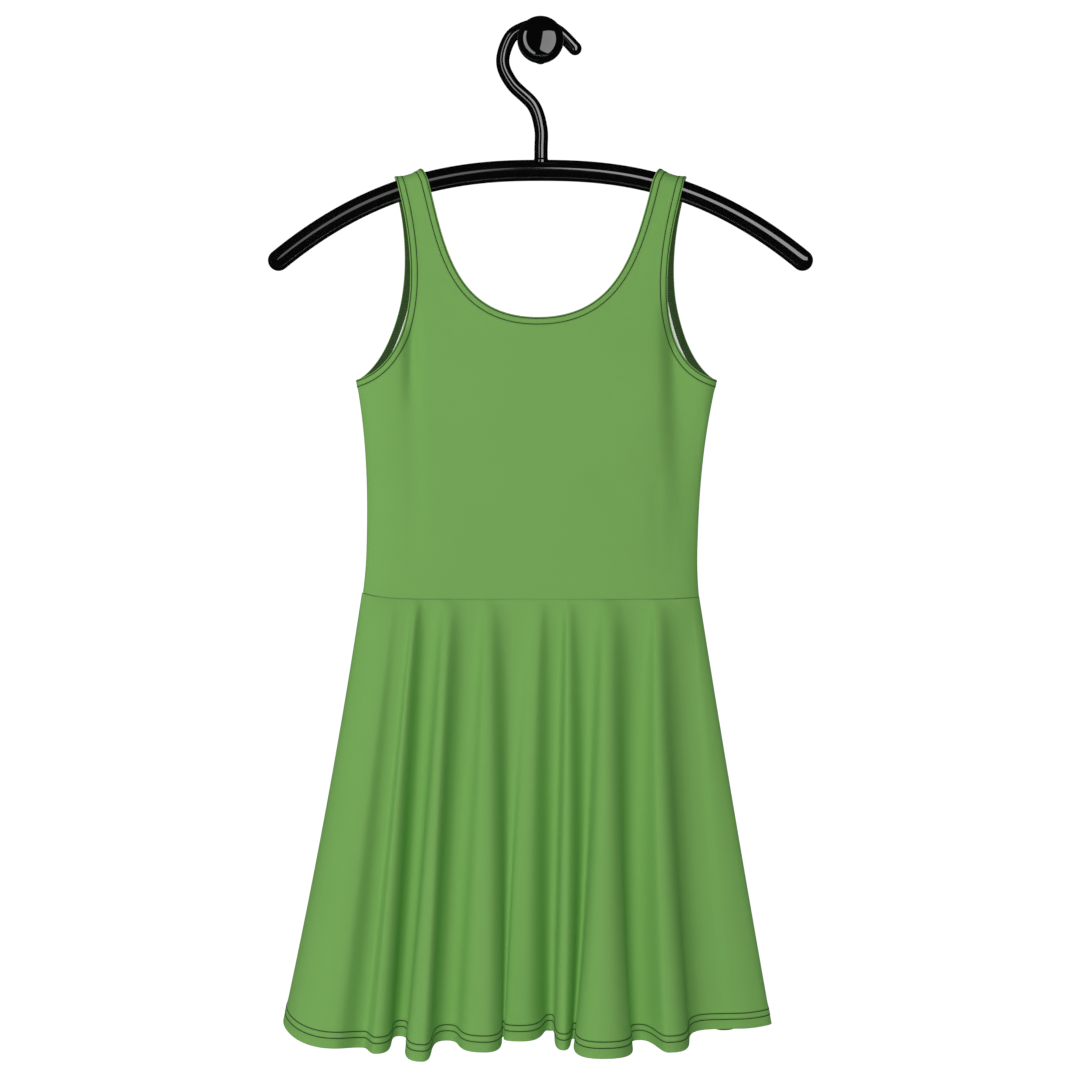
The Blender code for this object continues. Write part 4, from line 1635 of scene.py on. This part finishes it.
@dataclass(frozen=True)
class Knob:
    """A turned and lacquered wall knob: a ball on a neck that narrows to its foot."""

    foot_radius: float = 7.0
    neck_radius: float = 12.8
    ball_radius: float = 21.9
    ball_ahead: float = 26.0
    neck_length: float = 39.6
    ball_steps: int = 40
    neck_steps: int = 16
    sides: int = 96
    sharp_angle: float = 40.0  # degrees past which a corner stays a corner
    finish: GlossBlack = GlossBlack("knob_lacquer_black", srgb(2, 2, 3), 0.04, 0.02)

    def profile(self) -> list[tuple[float, float]]:
        """Radius and distance from the wall, from the ball's front to the foot's middle."""
        centre = HANG_DISTANCE + self.ball_ahead
        meeting = math.pi - math.asin(self.neck_radius / self.ball_radius)
        points = []
        for step in range(self.ball_steps + 1):
            angle = meeting * step / self.ball_steps
            points.append((self.ball_radius * math.sin(angle), centre + self.ball_radius * math.cos(angle)))
        for step in range(self.neck_steps + 1):
            share = step / self.neck_steps
            radius = mix(self.neck_radius, self.foot_radius, float(smooth_step(0.0, 1.0, share)))
            points.append((radius, self.neck_length * (1 - share)))
        return points + [(0.0, 0.0)]

    def build(self) -> list[bpy.types.Object]:
        """Makes the knob, turned about the axis that points into the room."""
        shape = bmesh.new()
        corners = [shape.verts.new((radius * MM, -ahead * MM, 0.0)) for radius, ahead in self.profile()]
        edges = [shape.edges.new(pair) for pair in zip(corners, corners[1:])]
        bmesh.ops.spin(shape, geom=corners + edges, cent=(0, 0, 0), axis=(0, 1, 0), angle=math.tau,
                       steps=self.sides, use_merge=True)
        bmesh.ops.remove_doubles(shape, verts=shape.verts, dist=MERGE_DISTANCE)
        bmesh.ops.recalc_face_normals(shape, faces=shape.faces)
        piece = new_piece("turned_knob", shape, (self.finish.material(),))
        piece.data.set_sharp_from_angle(angle=math.radians(self.sharp_angle))
        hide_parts("wall_knob")
        return [piece]


# Studio

@dataclass(frozen=True)
class Studio:
    """White surroundings, softboxes, a pale floor and the camera at the photo's place."""

    scale: float = 0.951      # millimetres of dress across a pixel
    picture: int = 1080
    axis_row: float = 46.2    # picture row of the knob's axis
    distance: float = 2000.0  # camera to hanging plane
    sensor: float = 36.0
    shift: float = -0.5
    floor_below: float = 2150.0
    floor_radius: float = 4.0
    floor_fade: tuple[float, float] = (0.4, 0.98)  # shares of the radius between which it fades out
    box_distance: float = 3.0   # metres from the hanging plane to a softbox
    card_distance: float = 2.0  # and to a card
    skies: tuple[tuple[float, str], ...] = ((0.012, "Is Glossy Ray"), (1.05, "Is Camera Ray"))
    cloth_sky: float = 0.15     # the surround's strength for every other ray

    def eye_height(self) -> float:
        """Height of the camera above the knob's axis."""
        return (self.axis_row - self.picture / 2) * self.scale

    def camera(self) -> None:
        """Makes the camera: level, square to the wall."""
        data = bpy.data.cameras.new("camera")
        data.sensor_width = self.sensor
        data.lens = self.sensor * self.distance / (self.picture * self.scale)
        data.shift_x = self.shift / self.picture
        data.clip_end = 100.0
        holder = in_scene("camera", data)
        holder.location = (0.0, -(HANG_DISTANCE + self.distance) * MM, self.eye_height() * MM)
        holder.rotation_euler = (math.radians(90.0), 0.0, 0.0)
        bpy.context.scene.camera = holder

    def softbox(self, name: str, azimuth: float, rise: float, distance: float, size: tuple[float, float],
                radiance: float) -> bpy.types.Object:
        """Adds an area light that faces the hanging plane.

        Args:
            name: Its name.
            azimuth: Degrees from straight in front, to the right as the camera sees it.
            rise: Degrees above the level of the dress's middle.
            distance: From the middle of the hanging plane, in metres.
            size: Its width and height, in metres.
            radiance: Its brightness, 1 being as bright as white cloth.

        Returns:
            The light.
        """
        data = bpy.data.lights.new(name, "AREA")
        data.shape = "RECTANGLE"
        data.size, data.size_y = size
        data.energy = radiance * math.pi * size[0] * size[1]
        light = in_scene(name, data)
        turn, lift = math.radians(azimuth), math.radians(rise)
        away = Vector((math.sin(turn) * math.cos(lift), -math.cos(turn) * math.cos(lift), math.sin(lift)))
        light.location = Vector((0.0, -HANG_DISTANCE * MM, self.eye_height() * MM)) + away * distance
        light.rotation_euler = away.to_track_quat("Z", "Y").to_euler()
        light.visible_camera = False
        return light

    def lights(self) -> None:
        """Makes the softboxes for the cloth."""
        for name, azimuth, rise, size, radiance, shades in (
                ("front_box", -14.0, 14.0, (1.2, 1.6), 1.3, True),
                ("front_fill", 0.0, 4.0, (1.2, 1.6), 4.6, False),
                ("left_fill", -55.0, 8.0, (1.4, 2.0), 6.1, False),
                ("right_fill", 60.0, 8.0, (1.4, 2.0), 2.3, False),
                ("back_box", 168.0, 10.0, (1.6, 1.8), 4.2, True)):
            box = self.softbox(name, azimuth, rise, self.box_distance, size, radiance)
            box.data.use_shadow = shades
            box.visible_glossy = False

    def cards(self, knob: bpy.types.Object, hook: bpy.types.Object, bar: bpy.types.Object) -> None:
        """Makes the white cards, each mirrored by one glossy piece alone.

        Args:
            knob: The wall knob.
            hook: The hanger's hook.
            bar: The hanger's bar.
        """
        for name, piece, azimuth, rise, size, radiance in (
                ("knob_right_card", knob, 45.0, -14.0, (3.2, 5.2), 5.0),
                ("knob_left_card", knob, -84.0, -14.0, (0.7, 5.0), 5.0),
                ("hook_right_card", hook, 21.0, 8.0, (1.15, 3.0), 8.0),
                ("hook_left_card", hook, -33.0, 8.0, (0.36, 3.0), 7.0),
                ("bar_right_card", bar, 28.0, 17.0, (1.9, 1.0), 7.0),
                ("bar_left_card", bar, -9.5, 17.0, (0.5, 0.9), 2.6)):
            card = self.softbox(name, azimuth, rise, self.card_distance, size, radiance)
            card.visible_diffuse = False
            mirrors = bpy.data.collections.new(name)
            mirrors.objects.link(piece)
            card.light_linking.receiver_collection = mirrors

    def world(self) -> None:
        """White to the camera, a softer light to the cloth, and nearly dark in reflections."""
        world = bpy.data.worlds.new("studio")
        bpy.context.scene.world = world
        world.use_nodes = True
        tree = world.node_tree
        path = tree.nodes.new("ShaderNodeLightPath")

        def sky(node: bpy.types.Node, strength: float) -> bpy.types.NodeSocket:
            """White light of a strength."""
            node.inputs["Color"].default_value = (1.0, 1.0, 1.0, 1.0)
            node.inputs["Strength"].default_value = strength
            return node.outputs[0]

        shader = sky(tree.nodes["Background"], self.cloth_sky)
        for strength, ray in self.skies:
            light = sky(tree.nodes.new("ShaderNodeBackground"), strength)
            chosen = tree.nodes.new("ShaderNodeMixShader")
            for place, socket in enumerate((path.outputs[ray], shader, light)):
                tree.links.new(socket, chosen.inputs[place])
            shader = chosen.outputs[0]
        tree.links.new(shader, tree.nodes["World Output"].inputs[0])

    def floor(self) -> None:
        """A pale floor far below, which fades out towards its rim."""
        shape = bmesh.new()
        height = self.eye_height() - self.floor_below
        place = Matrix.Translation((0.0, -HANG_DISTANCE * MM, height * MM))
        bmesh.ops.create_circle(shape, cap_ends=True, segments=96, radius=self.floor_radius, matrix=place)
        mesh = bpy.data.meshes.new("floor")
        shape.to_mesh(mesh)
        shape.free()
        nodes = Nodes("floor")
        where = nodes.add("TexCoord").outputs["Object"]
        parts = nodes.add("SeparateXYZ", inputs={0: where})
        flat = nodes.add("CombineXYZ", inputs={0: parts.outputs[0], 1: parts.outputs[1]})
        away = nodes.add("VectorMath", operation="LENGTH", inputs={0: flat.outputs[0]}).outputs["Value"]
        inner, outer = (share * self.floor_radius for share in self.floor_fade)
        rim = nodes.add("MapRange", interpolation_type="SMOOTHSTEP",
                        inputs={0: away, 1: inner, 2: outer, 3: 1.0, 4: 0.0})
        nodes.set(Base_Color=(0.93, 0.93, 0.93, 1.0), Roughness=0.9, Alpha=rim.outputs[0])
        mesh.materials.append(nodes.material)
        floor = in_scene("floor", mesh)
        floor.visible_glossy = False

    def build(self) -> None:
        """Sets up the whole studio."""
        self.camera()
        self.world()
        self.lights()
        self.floor()
        view = bpy.context.scene.view_settings
        view.view_transform = "Standard"
        view.look = "None"


def dress_panels() -> list:
    """The dress's four panels."""
    front = BodicePanel(
        "front_bodice", "bodice_front", Side.FRONT, neck_height=-259.0, neck_flat=78.0,
        neck_rise=Handle(64.0, 0.25), strap_inner=106.0, strap_outer=134.3, arm_top=Handle(114.0, 0.26),
        arm_foot=Handle(43.0, 0.2),
        depths=((-134.0, 11.6), (-200.0, 13.0), (-260.0, 15.5), (-318.0, 18.0), (-400.0, 19.0),
                (-470.0, 17.0), (-526.0, 14.0)),
        creases=(Crease(-121.0, -225.0, -116.0, -540.0, 11.0, 7.0, 2.6),
                 Crease(-122.0, -262.0, -122.0, -362.0, 6.5, 5.5, 4.6),
                 Crease(124.0, -225.0, 131.0, -425.0, 9.5, 26.0, 8.0),
                 Crease(125.0, -235.0, 137.0, -560.0, 10.0, 24.0, 4.0),
                 Crease(150.0, -330.0, 150.0, -545.0, 34.0, 10.0, 6.0),
                 Crease(108.0, -400.0, 112.0, -545.0, 5.0, 7.0, 1.3),
                 Crease(121.0, -430.0, 124.0, -545.0, 4.5, 5.0, 1.2)))
    back = BodicePanel(
        "back_bodice", "bodice_back", Side.BACK, neck_height=-268.0, neck_flat=80.0,
        neck_rise=Handle(64.0, 0.22), strap_inner=108.5, strap_outer=137.4, arm_top=Handle(104.0, 0.24),
        arm_foot=Handle(30.0, 0.62),
        depths=((-134.0, 11.6), (-200.0, 12.5), (-260.0, 14.0), (-318.0, 16.0), (-400.0, 17.0),
                (-470.0, 16.0), (-526.0, 14.0)),
        creases=(Crease(-118.0, -240.0, -126.0, -480.0, 20.0, 9.0, 7.0),
                 Crease(112.0, -235.0, 122.0, -440.0, 9.0, 22.0, 7.0),
                 Crease(104.0, -390.0, 110.0, -545.0, 6.0, 6.0, 1.5)))
    folds = front_folds()
    front_skirt = SkirtPanel("front_skirt", "skirt_front", Side.FRONT, folds, (0.889, 0.476), 0.274)
    back_skirt = SkirtPanel("back_skirt", "skirt_back", Side.BACK, EvenFolds().folds(folds[0], folds[-1]),
                            (0.889, 0.476), 0.274, per_fold=10)
    return [front, back, front_skirt, back_skirt]


def main() -> None:
    """Builds the studio, the hanger, the knob and the dress, and reports each piece."""
    studio, jersey, stitch = Studio(), Jersey(), Coverstitch()
    studio.build()
    (bar, hook), (knob,) = Hanger().build(), Knob().build()
    studio.cards(knob, hook, bar)
    pieces = [bar, hook, knob]
    for panel in dress_panels():
        pieces += panel.build(jersey, stitch)
    for piece in pieces:
        mesh = piece.data
        log.info("%s: %d vertices, %d faces", piece.name, len(mesh.vertices), len(mesh.polygons))


if __name__ == "__main__":
    main()
